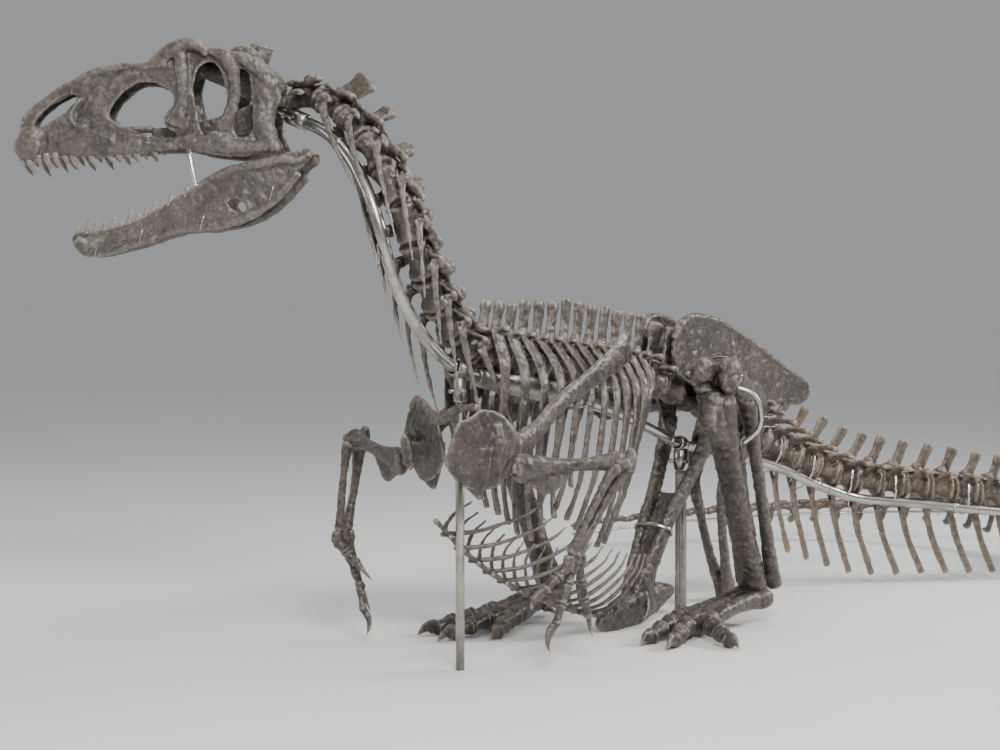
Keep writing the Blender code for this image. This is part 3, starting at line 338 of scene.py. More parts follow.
def bar(points, sizes, up=UP, sides=14, steps=5, dome=0.5):
    """Vertices and faces of a closed bar; each size is (half breadth, half depth along up)."""
    rows = smooth_rows([(*p, *s) for p, s in zip(points, sizes)], steps)
    centres = [Vector(r[:3]) for r in rows]
    spans = [(max(r[3], THINNEST), max(r[4], THINNEST)) for r in rows]
    first = (centres[1] - centres[0]).normalized()
    last = (centres[-1] - centres[-2]).normalized()
    low = min(spans[0]) * dome
    high = min(spans[-1]) * dome
    heads = [
        (centres[0] - first * low * reach, [s * share for s in spans[0]])
        for reach, share in ((1.0, 0.45), (0.7, 0.8))]
    tails = [
        (centres[-1] + last * high * reach, [s * share for s in spans[-1]])
        for reach, share in ((0.7, 0.8), (1.0, 0.45))]
    rings = heads + list(zip(centres, spans)) + tails
    up = Vector(up)
    verts = []
    for i, (p, (broad, deep)) in enumerate(rings):
        along = (rings[min(i + 1, len(rings) - 1)][0] - rings[max(i - 1, 0)][0]).normalized()
        side = along.cross(up)
        if side.length < 0.05:
            side = along.cross(CROSSWISE)
        side.normalize()
        rise = side.cross(along)
        for k in range(sides):
            angle = 2 * math.pi * (k + 0.5) / sides
            verts.append(p + side * broad * math.cos(angle) + rise * deep * math.sin(angle))
    faces = []
    for i in range(len(rings) - 1):
        for k in range(sides):
            m = (k + 1) % sides
            faces.append((i * sides + k, i * sides + m, (i + 1) * sides + m, (i + 1) * sides + k))
    faces.append(tuple(reversed(range(sides))))
    faces.append(tuple((len(rings) - 1) * sides + k for k in range(sides)))
    return [tuple(v) for v in verts], faces


def round_bar(points, radii, up=UP, sides=14, steps=5, dome=0.5):
    return bar(points, [(r, r) for r in radii], up, sides, steps, dome)


def curve_points(points, count):
    """Evenly spaced points, and their directions, on a smooth curve through the given points."""
    fine = [Vector(r) for r in smooth_rows(points, 12)]
    run = [0.0]
    for p, q in zip(fine, fine[1:]):
        run.append(run[-1] + (q - p).length)
    out = []
    for i in range(count):
        want = run[-1] * i / (count - 1)
        k = max(j for j in range(len(run)) if run[j] <= want + 1e-9)
        k = min(k, len(fine) - 2)
        t = (want - run[k]) / (run[k + 1] - run[k])
        out.append((fine[k].lerp(fine[k + 1], t), (fine[k + 1] - fine[k]).normalized()))
    return out


def mesh_of(name, lumps):
    verts = []
    faces = []
    for lump_verts, lump_faces in lumps:
        start = len(verts)
        verts += lump_verts
        faces += [tuple(start + i for i in f) for f in lump_faces]
    mesh = bpy.data.meshes.new(name)
    mesh.from_pydata(verts, [], faces)
    bm = bmesh.new()
    bm.from_mesh(mesh)
    bmesh.ops.recalc_face_normals(bm, faces=bm.faces)
    bm.to_mesh(mesh)
    bm.free()
    return mesh


def cloud(name, size, depth):
    made = bpy.data.textures.new(name, "CLOUDS")
    made.noise_scale = size
    made.noise_depth = depth
    return made


SWELL = cloud("swell", 0.06, 2)
RUGGED = cloud("rugged", 0.02, 4)
CRUMBLED = cloud("crumbled", 0.0075, 2)
RELIEF = [(SWELL, 0.005), (RUGGED, 0.0065), (CRUMBLED, 0.0028)]
KEPT_FACES = 0.36
COUNTS = {}


def applied(obj):
    """Replaces an object's mesh by what its modifiers make of it."""
    graph = bpy.context.evaluated_depsgraph_get()
    mesh = bpy.data.meshes.new_from_object(obj.evaluated_get(graph))
    obj.modifiers.clear()
    obj.data = mesh


def dress(obj, finish, nodes):
    """Gives a piece its material, its place on the model and the solids it stands for."""
    obj.data.materials.clear()
    obj.data.materials.append(finish)
    obj.data.shade_smooth()
    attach(obj, BODY)
    if nodes:
        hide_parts(*nodes)
    COUNTS[obj.name] = len(obj.data.polygons)


def bone(name, lumps, voxel, nodes=(), finish=BONE, rugged=1.0, soften=3):
    """One skin over a bone's bars, roughened like old bone."""
    obj = linked(name, mesh_of(name, lumps))
    remesh = obj.modifiers.new("melt", "REMESH")
    remesh.mode = "VOXEL"
    remesh.voxel_size = voxel
    melt = obj.modifiers.new("soften", "SMOOTH")
    melt.factor = 0.5
    melt.iterations = soften
    for texture, strength in RELIEF:
        push = obj.modifiers.new("push", "DISPLACE")
        push.texture = texture
        push.texture_coords = "GLOBAL"
        push.mid_level = 0.5
        push.strength = strength * rugged
    thin = obj.modifiers.new("thin", "DECIMATE")
    thin.ratio = KEPT_FACES
    applied(obj)
    places = np.empty(len(obj.data.vertices) * 3)
    obj.data.vertices.foreach_get("co", places)
    places = places.reshape(-1, 3)
    places[:, 2] = np.maximum(places[:, 2], 0.0)
    places += np.array(SHIFT)
    obj.data.vertices.foreach_set("co", places.ravel())
    dress(obj, finish, nodes)


def smooth_piece(name, lumps, finish, nodes=()):
    """A piece kept just as its bars are, for teeth and steel."""
    obj = linked(name, mesh_of(name, lumps))
    for vert in obj.data.vertices:
        vert.co += SHIFT
        vert.co.z = max(vert.co.z, 0.0)
    dress(obj, finish, nodes)


def plate(outline, holes, thick, place, voxel=0.003):
    """A flat sheet with holes, cut from an outline in (x, z), then bent into the world by place."""
    shape = bpy.data.curves.new("plate", "CURVE")
    shape.dimensions = "2D"
    shape.fill_mode = "BOTH"
    shape.extrude = thick
    for ring in [outline] + list(holes):
        smooth = smooth_rows(list(ring) + [ring[0]], 4)[:-1]
        spline = shape.splines.new("POLY")
        spline.points.add(len(smooth) - 1)
        for point, (x, z) in zip(spline.points, smooth):
            point.co = (x, z, 0.0, 1.0)
        spline.use_cyclic_u = True
    obj = linked("plate", shape)
    graph = bpy.context.evaluated_depsgraph_get()
    mesh = bpy.data.meshes.new_from_object(obj.evaluated_get(graph))
    bpy.data.objects.remove(obj)
    flat = linked("flat", mesh)
    weld = flat.modifiers.new("weld", "WELD")
    weld.merge_threshold = 0.00005
    remesh = flat.modifiers.new("melt", "REMESH")
    remesh.mode = "VOXEL"
    remesh.voxel_size = voxel
    applied(flat)
    verts = [tuple(place(v.co.x, v.co.y, v.co.z)) for v in flat.data.vertices]
    faces = [tuple(p.vertices) for p in flat.data.polygons]
    bpy.data.objects.remove(flat)
    return verts, faces


print("bar, plate and bone ready")

# %% [markdown]
# ## Skull
#
# The skull is a cage of struts round big openings: nostril, the large window in front of the eye,
# the keyhole eye socket and a slot behind it. Each side wall is a plate cut to that outline and
# spread outwards towards the back. Bars along it make the thick rims, the horn over the eye and the
# cheek, and roof bars tie the two walls together.

# %% The head's own axes
SKULL_ORIGIN = Vector((-1.388, 0.3545, 1.268))
SKULL_FORWARD = Vector((-0.571, 0.82, 0.0)).normalized()
SKULL_LEFT = Vector((-0.82, -0.571, 0.0)).normalized()
HEAD_VOXEL = 0.0026
HEAD_WALL = 0.0055
SKULL_BREADTH = [(-0.08, 0.105), (0.0, 0.105), (0.1, 0.102), (0.3, 0.072), (0.5, 0.046), (0.68, 0.026)]


def read_off(table, x):
    """The value beside x in a table of (x, value) rows, in a straight line between rows."""
    return float(np.interp(x, [row[0] for row in table], [row[1] for row in table]))


def breadth_at(x):
    return read_off(SKULL_BREADTH, x)


def head(x, y, z):
    """A place given forward of the jaw joint, to the head's left, and up."""
    return SKULL_ORIGIN + SKULL_FORWARD * x + SKULL_LEFT * y + Vector((0.0, 0.0, z))


def head_bar(rows, side, dome=0.5):
    """A strut on the side wall; rows are (x, z, half thickness, half height, inset)."""
    points = [head(x, side * (breadth_at(x) - inset), z) for x, z, _, _, inset in rows]
    return bar(points, [(deep, thick) for _, _, thick, deep, _ in rows], up=SKULL_LEFT, dome=dome)


def roof_bar(rows):
    return bar([head(x, 0.0, z) for x, z, _, _ in rows], [(w, t) for _, _, w, t in rows])


# %% Outlines of the side wall and its openings
WALL = [
    (0.657, 0.02), (0.65, 0.064), (0.626, 0.098), (0.583, 0.13), (0.544, 0.151), (0.515, 0.172),
    (0.475, 0.194), (0.423, 0.209), (0.394, 0.213), (0.352, 0.209), (0.33, 0.214), (0.3, 0.24),
    (0.263, 0.266), (0.231, 0.275), (0.202, 0.263), (0.182, 0.243), (0.15, 0.238), (0.128, 0.246),
    (0.108, 0.256), (0.08, 0.25), (0.058, 0.232), (0.045, 0.21), (0.03, 0.177), (0.014, 0.15),
    (0.008, 0.128), (0.018, 0.104), (0.024, 0.07), (0.022, 0.042), (0.008, 0.022), (0.003, 0.006),
    (0.022, -0.004), (0.045, -0.004), (0.08, -0.008), (0.118, -0.012), (0.15, -0.01), (0.197, -0.004),
    (0.24, 0.008), (0.268, 0.014), (0.3, 0.013), (0.345, 0.006), (0.4, -0.001), (0.45, -0.006),
    (0.51, -0.008), (0.56, -0.01), (0.6, -0.018), (0.632, -0.018), (0.65, -0.004)]
NOSTRIL = [
    (0.617, 0.066), (0.606, 0.06), (0.58, 0.074), (0.548, 0.094), (0.518, 0.118), (0.509, 0.136),
    (0.524, 0.142), (0.552, 0.132), (0.584, 0.108), (0.608, 0.084)]
EYE_WINDOW = [
    (0.432, 0.086), (0.424, 0.11), (0.398, 0.142), (0.362, 0.166), (0.322, 0.168), (0.284, 0.15),
    (0.27, 0.13), (0.272, 0.11), (0.29, 0.092), (0.294, 0.072), (0.282, 0.056), (0.264, 0.048),
    (0.266, 0.036), (0.29, 0.03), (0.33, 0.04), (0.372, 0.056), (0.41, 0.072)]
FRONT_PORE = [
    (0.501, 0.086), (0.492, 0.1), (0.478, 0.103), (0.47, 0.092), (0.475, 0.076), (0.49, 0.073)]
SOCKET = [
    (0.214, 0.19), (0.196, 0.213), (0.172, 0.212), (0.154, 0.19), (0.143, 0.152), (0.139, 0.116),
    (0.15, 0.086), (0.166, 0.06), (0.181, 0.04), (0.192, 0.036), (0.204, 0.056), (0.211, 0.09),
    (0.219, 0.122), (0.222, 0.156)]
REAR_SLOT = [
    (0.112, 0.192), (0.099, 0.198), (0.086, 0.186), (0.08, 0.15), (0.078, 0.11), (0.076, 0.075),
    (0.079, 0.046), (0.093, 0.033), (0.111, 0.035), (0.121, 0.052), (0.119, 0.082), (0.112, 0.112),
    (0.111, 0.142), (0.115, 0.17)]


def skull_wall(side):
    def place(x, z, t):
        curl = 0.012 * max(0.0, (z - 0.19) / 0.08)
        return head(x, side * (breadth_at(x) - 0.006 - curl + t), z)
    openings = [NOSTRIL, EYE_WINDOW, FRONT_PORE, SOCKET, REAR_SLOT]
    return plate(WALL, openings, HEAD_WALL, place, HEAD_VOXEL)


print("skull wall points", len(WALL))

# %% Struts of the skull
MAXILLA = [
    (0.575, 0.03, 0.011, 0.028, 0.004), (0.52, 0.026, 0.014, 0.034, 0.002),
    (0.46, 0.026, 0.014, 0.034, 0.0), (0.4, 0.02, 0.012, 0.026, 0.0), (0.345, 0.018, 0.011, 0.018, 0.0),
    (0.296, 0.016, 0.009, 0.011, 0.0), (0.262, 0.014, 0.007, 0.008, 0.0)]
PREMAXILLA = [
    (0.652, 0.04, 0.01, 0.034, 0.0), (0.632, 0.028, 0.015, 0.044, 0.0),
    (0.605, 0.02, 0.014, 0.036, 0.004)]
NARIS_TOP = [
    (0.646, 0.072, 0.009, 0.01, 0.006), (0.614, 0.108, 0.009, 0.01, 0.012),
    (0.57, 0.14, 0.009, 0.01, 0.012), (0.52, 0.166, 0.009, 0.011, 0.008)]
SNOUT = [
    (0.5, 0.06, 0.008, 0.014, 0.002), (0.46, 0.128, 0.009, 0.02, 0.004),
    (0.42, 0.168, 0.009, 0.016, 0.004), (0.365, 0.194, 0.009, 0.01, 0.004)]
FOSSA_RIM = [
    (0.5, 0.13, 0.006, 0.005, -0.001), (0.522, 0.096, 0.006, 0.005, -0.001),
    (0.512, 0.066, 0.006, 0.005, -0.001), (0.47, 0.05, 0.006, 0.005, -0.001),
    (0.4, 0.046, 0.006, 0.005, -0.001), (0.33, 0.036, 0.006, 0.005, -0.001)]
NASAL_EDGE = [
    (0.53, 0.16, 0.009, 0.01, 0.01), (0.47, 0.192, 0.01, 0.011, 0.006),
    (0.4, 0.206, 0.011, 0.01, 0.004), (0.34, 0.206, 0.01, 0.01, 0.004), (0.29, 0.216, 0.01, 0.014, 0.0)]
HORN = [
    (0.326, 0.212, 0.009, 0.01, 0.002), (0.288, 0.236, 0.012, 0.018, 0.0),
    (0.25, 0.256, 0.013, 0.016, -0.002), (0.216, 0.258, 0.013, 0.014, -0.002),
    (0.186, 0.24, 0.011, 0.012, 0.0)]
LACRIMAL = [
    (0.256, 0.24, 0.01, 0.018, 0.0), (0.248, 0.195, 0.009, 0.016, -0.001),
    (0.246, 0.13, 0.009, 0.014, -0.001), (0.254, 0.09, 0.009, 0.02, -0.001),
    (0.264, 0.064, 0.008, 0.026, -0.001)]
JUGAL = [
    (0.262, 0.02, 0.008, 0.012, 0.0), (0.236, 0.026, 0.01, 0.018, -0.001),
    (0.196, 0.018, 0.011, 0.02, -0.001), (0.16, 0.024, 0.01, 0.028, -0.001),
    (0.13, 0.012, 0.01, 0.018, -0.001), (0.08, 0.01, 0.009, 0.014, 0.0),
    (0.02, 0.012, 0.011, 0.013, 0.0)]
POSTORBITAL = [
    (0.172, 0.24, 0.012, 0.012, 0.0), (0.14, 0.226, 0.013, 0.018, -0.003),
    (0.122, 0.19, 0.011, 0.016, -0.002), (0.118, 0.13, 0.009, 0.013, -0.001),
    (0.132, 0.086, 0.009, 0.014, -0.001), (0.152, 0.052, 0.008, 0.016, 0.0)]
SQUAMOSAL = [
    (0.15, 0.228, 0.01, 0.012, 0.0), (0.1, 0.222, 0.012, 0.014, 0.0), (0.058, 0.196, 0.013, 0.02, 0.0),
    (0.028, 0.158, 0.011, 0.016, 0.002)]
QUADRATE = [
    (0.056, 0.186, 0.01, 0.02, 0.004), (0.048, 0.13, 0.01, 0.026, 0.004),
    (0.05, 0.07, 0.01, 0.026, 0.002), (0.034, 0.026, 0.013, 0.024, 0.002),
    (0.014, 0.007, 0.015, 0.011, 0.004)]
WALL_BARS = [
    MAXILLA, PREMAXILLA, NARIS_TOP, SNOUT, FOSSA_RIM, NASAL_EDGE, HORN, LACRIMAL, JUGAL, POSTORBITAL,
    SQUAMOSAL, QUADRATE]
ROOF = [
    (0.59, 0.124, 0.022, 0.009), (0.52, 0.164, 0.034, 0.009), (0.44, 0.196, 0.044, 0.009),
    (0.36, 0.206, 0.056, 0.009), (0.29, 0.214, 0.066, 0.01), (0.21, 0.236, 0.076, 0.012),
    (0.14, 0.232, 0.074, 0.014), (0.095, 0.226, 0.04, 0.016)]
CREST = [
    (0.078, 0.19, 0.034, 0.04), (0.076, 0.222, 0.026, 0.038), (0.068, 0.24, 0.025, 0.034),
    (0.064, 0.262, 0.03, 0.032)]
BRAINCASE = [
    (0.21, 0.205, 0.024, 0.018), (0.13, 0.186, 0.034, 0.034), (0.06, 0.165, 0.042, 0.046),
    (0.026, 0.15, 0.036, 0.034)]
PALATE = [
    (0.64, 0.026, 0.022, 0.009), (0.56, 0.046, 0.034, 0.008), (0.45, 0.058, 0.042, 0.007),
    (0.33, 0.06, 0.046, 0.006)]
PTERYGOID = [
    (0.33, 0.05, 0.005, 0.012, 0.046), (0.23, 0.052, 0.006, 0.022, 0.052),
    (0.13, 0.07, 0.006, 0.03, 0.056), (0.06, 0.09, 0.006, 0.034, 0.04)]

lumps = [
    roof_bar(ROOF), roof_bar(BRAINCASE), roof_bar(PALATE),
    bar(
        [head(x, 0.0, z) for x, z, _, _ in CREST], [(long, wide) for _, _, long, wide in CREST],
        up=SKULL_LEFT, sides=10, dome=0.12)]
for side in (1, -1):
    lumps.append(skull_wall(side))
    lumps += [head_bar(rows, side) for rows in WALL_BARS + [PTERYGOID]]
    lumps.append(bar(
        [head(0.045, 0.0, 0.16), head(0.03, side * 0.06, 0.148), head(0.028, side * 0.1, 0.14)],
        [(0.012, 0.026), (0.01, 0.018), (0.009, 0.022)]))
    lumps.append(bar(
        [head(0.1, 0.0, 0.224), head(0.08, side * 0.06, 0.224), head(0.07, side * 0.098, 0.206)],
        [(0.014, 0.014), (0.012, 0.013), (0.012, 0.014)]))
lumps.append(round_bar(
    [head(0.05, 0.0, 0.14), head(0.022, 0.0, 0.133), head(0.01, 0.0, 0.13)], [0.022, 0.021, 0.017]))
bone("skull_bone", lumps, HEAD_VOXEL, ["skull"], PALE_BONE, rugged=0.85, soften=2)
print("skull faces", COUNTS["skull_bone"])

# %% [markdown]
# ## Lower jaw
#
# Each half of the jaw is one deep plate: thick and toothed in front, thin and tall behind, with a
# small window and a low shelf for the joint. The halves meet at the chin.

# %% The jaw's two halves
JAW = [
    (0.522, -0.204), (0.516, -0.228), (0.5, -0.246), (0.484, -0.252), (0.455, -0.252), (0.423, -0.246),
    (0.387, -0.232), (0.352, -0.219), (0.31, -0.205), (0.268, -0.194), (0.21, -0.19), (0.15, -0.184),
    (0.091, -0.168), (0.047, -0.138), (0.005, -0.106), (-0.02, -0.07), (-0.036, -0.042),
    (-0.056, -0.024), (-0.068, -0.008), (-0.066, 0.006), (-0.046, 0.008), (-0.026, 0.000),
    (-0.006, -0.001), (0.014, -0.008), (0.039, -0.018), (0.091, -0.03), (0.14, -0.036), (0.163, -0.05),
    (0.182, -0.068), (0.221, -0.086), (0.278, -0.117), (0.352, -0.158), (0.408, -0.178), (0.47, -0.192),
    (0.505, -0.192)]
JAW_WINDOW = [
    (0.139, -0.122), (0.13, -0.113), (0.112, -0.116), (0.096, -0.126), (0.094, -0.14), (0.108, -0.145),
    (0.128, -0.138)]
DENTARY = [
    (0.51, -0.214, 0.009, 0.016, -0.014), (0.485, -0.222, 0.012, 0.022, -0.004),
    (0.43, -0.208, 0.012, 0.024, 0.01), (0.35, -0.184, 0.011, 0.022, 0.01),
    (0.27, -0.148, 0.01, 0.024, 0.008), (0.2, -0.12, 0.008, 0.03, 0.006)]
JAW_FOOT = [
    (0.42, -0.236, 0.008, 0.01, 0.012), (0.34, -0.212, 0.009, 0.01, 0.012),
    (0.26, -0.186, 0.009, 0.01, 0.01), (0.18, -0.178, 0.009, 0.011, 0.006),
    (0.1, -0.16, 0.009, 0.012, 0.004), (0.03, -0.118, 0.009, 0.012, 0.004),
    (-0.03, -0.052, 0.009, 0.012, 0.004)]
JAW_CROWN = [
    (0.21, -0.084, 0.008, 0.008, 0.004), (0.165, -0.058, 0.009, 0.01, 0.004),
    (0.12, -0.042, 0.01, 0.011, 0.002), (0.06, -0.032, 0.012, 0.012, 0.0),
    (0.005, -0.02, 0.015, 0.014, 0.0), (-0.03, -0.022, 0.013, 0.012, 0.002),
    (-0.058, -0.006, 0.013, 0.011, 0.004)]


def jaw_inset(x):
    return 0.004 + 0.008 * min(1.0, max(0.0, (x - 0.15) / 0.25)) - 0.02 * max(0.0, (x - 0.43) / 0.09)


def jaw_wall(side):
    def place(x, z, t):
        return head(x, side * (breadth_at(x) - jaw_inset(x) + t), z)
    return plate(JAW, [JAW_WINDOW], HEAD_WALL, place, HEAD_VOXEL)


lumps = []
for side in (1, -1):
    lumps += [jaw_wall(side)] + [head_bar(rows, side) for rows in (DENTARY, JAW_FOOT, JAW_CROWN)]
lumps.append(bar(
    [head(0.5, -0.044, -0.216), head(0.506, 0.0, -0.22), head(0.5, 0.044, -0.216)],
    [(0.012, 0.018), (0.012, 0.02), (0.012, 0.018)]))
bone("jaw_bone", lumps, HEAD_VOXEL, ["lower_jaw"], PALE_BONE, rugged=0.8, soften=2)
print("jaw faces", COUNTS["jaw_bone"])

# %% [markdown]
# ## Teeth
#
# The teeth are flat, curved blades of uneven length, because a dinosaur shed and regrew them all its
# life. Each is a tapered bar that bends back to its tip, sunk well into the jaw.

# %% Two rows of teeth
TOOTH_STOPS = [(-0.3, 1.0), (0.0, 1.05), (0.3, 0.92), (0.6, 0.66), (0.84, 0.36), (1.0, 0.08)]


def tooth(x, y, z, length, down, thick):
    """One tooth; down is 1 for the upper row, which leans and curves more, and -1 for the lower."""
    lean, curve = (0.1, 0.48) if down > 0 else (0.04, 0.26)
    points = []
    for t, _ in TOOTH_STOPS:
        back = curve * length * max(t, 0.0) ** 1.7
        points.append(head(x + lean * length - back, y * (1.0 - 0.02 * t), z - down * length * t))
    sizes = [(thick * s * 1.35, thick * s * 0.85) for _, s in TOOTH_STOPS]
    return bar(points, sizes, up=SKULL_LEFT, sides=10, steps=2, dome=0.2)


def tooth_row(name, count, first, last, edge, inset, lengths, down):
    """Teeth from first to last along both sides; lengths are the front and rear tooth's."""
    lumps = []
    for side in (1, -1):
        for i in range(count):
            t = i / (count - 1)
            x = first + (last - first) * t
            wobble = 0.5 + 0.5 * math.sin(2.7 * i + 1.3 * side + count)
            length = (lengths[0] + (lengths[1] - lengths[0]) * t) * (0.5 + 0.62 * wobble)
            lumps.append(tooth(
                x, side * (breadth_at(x) - inset(x)), read_off(edge, x), length, down,
                0.006 * (0.8 + 0.3 * wobble)))
    smooth_piece(name, lumps, TOOTH)


UPPER_EDGE = [(0.3, 0.016), (0.4, 0.002), (0.5, -0.004), (0.6, -0.012), (0.65, -0.008)]
LOWER_EDGE = [
    (0.2, -0.08), (0.278, -0.12), (0.352, -0.16), (0.408, -0.182), (0.47, -0.196), (0.52, -0.198)]
UPPER_TEETH = (0.042, 0.024)
LOWER_TEETH = (0.04, 0.022)
tooth_row("teeth_upper", 16, 0.648, 0.318, UPPER_EDGE, lambda x: 0.004, UPPER_TEETH, 1.0)
tooth_row("teeth_lower", 15, 0.508, 0.218, LOWER_EDGE, jaw_inset, LOWER_TEETH, -1.0)
print("teeth faces", COUNTS["teeth_upper"] + COUNTS["teeth_lower"])

# %% [markdown]
# ## Vertebrae
#
# Every vertebra has the same plan: a waisted spool with a rim at each end, an arch over it that
# carries a tall spine, two side wings, and small bridges that lock it to the next one. One function
# makes them all. What changes along the body is size, lean and reach, so each region calls it
# in a loop with its own few numbers.

# %% One vertebra
NECK_AXIS = [
    (-1.385, 0.35, 1.398), (-1.382, 0.285, 1.396), (-1.388, 0.215, 1.372), (-1.402, 0.14, 1.325),
    (-1.414, 0.075, 1.262), (-1.415, 0.026, 1.19), (-1.403, -0.002, 1.117), (-1.376, -0.014, 1.042),
    (-1.33, -0.014, 0.968), (-1.268, -0.006, 0.898), (-1.195, 0.0, 0.832), (-1.12, 0.0, 0.792)]
TRUNK_AXIS = [
    (-1.12, 0.0, 0.792), (-1.0, 0.0, 0.768), (-0.8, 0.0, 0.748), (-0.55, 0.0, 0.722), (-0.3, 0.0, 0.69)]
SACRUM_AXIS = [(-0.3, 0.0, 0.69), (-0.12, 0.0, 0.65), (0.14, 0.0, 0.575)]
TAIL_AXIS = [
    (0.14, 0.0, 0.575), (0.29, -0.012, 0.508), (0.45, -0.046, 0.441), (0.585, -0.1, 0.385),
    (0.712, -0.177, 0.338), (0.832, -0.281, 0.318), (0.931, -0.388, 0.301), (1.022, -0.483, 0.286),
    (1.15, -0.59, 0.27), (1.3, -0.66, 0.25), (1.47, -0.66, 0.225), (1.62, -0.57, 0.2),
    (1.72, -0.42, 0.18), (1.775, -0.22, 0.165), (1.78, 0.0, 0.155), (1.74, 0.2, 0.145),
    (1.65, 0.38, 0.138), (1.52, 0.55, 0.13), (1.37, 0.69, 0.122), (1.2, 0.8, 0.114),
    (1.02, 0.89, 0.106), (0.84, 0.96, 0.1)]
NECK_COUNT = 10
TRUNK_COUNT = 13
SACRUM_COUNT = 5
TAIL_COUNT = 46


def spool(centre, along, up, radius, length, waist=0.72):
    stops = (-0.47, -0.42, -0.33, -0.18, 0.0, 0.18, 0.33, 0.42, 0.47)
    shares = (0.9, 1.05, 0.97, waist + 0.07, waist, waist + 0.07, 0.97, 1.05, 0.9)
    return bar(
        [centre + along * length * t for t in stops], [(radius * s, radius * s * 1.06) for s in shares],
        up, 20, 2, 0.1)


def vertebra(centre, along, up, radius, length, spine, wings, knob=1.35, waist=0.7, bridge=1.0):
    """A spool with its arch, spine and wings.

    spine is (height, half width fore and aft, half thickness, lean back), wings are (reach, rise,
    sweep, half width), waist is the spool's waist, and bridge is how far the joints reach on.
    """
    side = along.cross(up).normalized()
    up = side.cross(along).normalized()
    lumps = [
        spool(centre, along, up, radius, length, waist),
        round_bar(
            [centre - along * length * 0.55, centre + along * length * 0.55], [radius * 0.58] * 2, up,
            12, 2)]
    height, wide, thick, lean = spine
    arch = radius + 0.3 * (max(height, radius * 1.6) - radius)
    lumps.append(bar(
        [centre + up * radius * 0.4, centre + up * (radius + 0.006), centre + up * arch],
        [(radius * 0.66, length * 0.26), (radius * 0.46, length * 0.26), (thick * 1.3, wide)], along,
        12, 3))
    if height > 0:
        stops = (
            (0.0, 0.0, 0.5 * radius / thick, 1.45), (0.24, 0.2, 1.2, 1.08), (0.6, 0.58, 0.95, 0.95),
            (0.88, 0.88, knob * 1.05, 1.06), (1.0, 1.0, knob, 1.0))
        foot = radius * 0.5
        points = [
            centre + up * (foot + (height - foot) * t) + along * lean * back
            for t, back, _, _ in stops]
        sizes = [(thick * deep, wide * long) for _, _, deep, long in stops]
        lumps.append(bar(points, sizes, along, 14, 4, 0.25))
    reach, rise, sweep, broad = wings
    for s in (1, -1):
        if reach > 0:
            root = centre + up * radius * 0.72 + side * s * radius * 0.3
            elbow = centre + up * (radius * 0.6 + rise * 0.7)
            elbow += side * s * reach * 0.58
            elbow += along * sweep * 0.4
            tip = centre + up * (radius * 0.4 + rise) + side * s * reach + along * sweep
            lumps.append(bar(
                [root, elbow, tip],
                [(broad * 1.35, 0.01), (broad * 0.86, 0.0062), (broad * 0.92, 0.0085)], up, 12, 4))
        ahead = centre + up * (radius + 0.1 * max(height - radius, 0.0))
        ahead += side * s * (radius * 0.34 + 0.003)
        reach_on = length * (0.3 + 0.24 * bridge)
        lumps.append(bar(
            [
                ahead - along * reach_on + up * 0.004, ahead - along * length * 0.25, ahead,
                ahead + along * length * 0.28, ahead + along * reach_on + up * 0.006],
            [
                (radius * 0.17, radius * 0.12), (radius * 0.2, radius * 0.16),
                (radius * 0.26, radius * 0.2), (radius * 0.2, radius * 0.15),
                (radius * 0.16, radius * 0.11)],
            up, 8, 2))
    return lumps


def stations(axis, count):
    """Centre, direction and length for each of count vertebrae along an axis."""
    places = curve_points(axis, count * 2 + 1)
    return [
        (*places[2 * i + 1], (places[2 * i + 2][0] - places[2 * i][0]).length) for i in range(count)]


print(
    "one vertebra has",
    len(vertebra(Vector(), LENGTHWISE, UP, 0.04, 0.08, (0.1, 0.02, 0.01, 0), (0.1, 0, 0, 0.02))),
    "lumps")

# %% [markdown]
# ## Neck
#
# Ten vertebrae carry the head in an S. The first has only a low spine, the second a tall hatchet
# spine, and from there on long, needle-thin ribs sweep back below the neck.

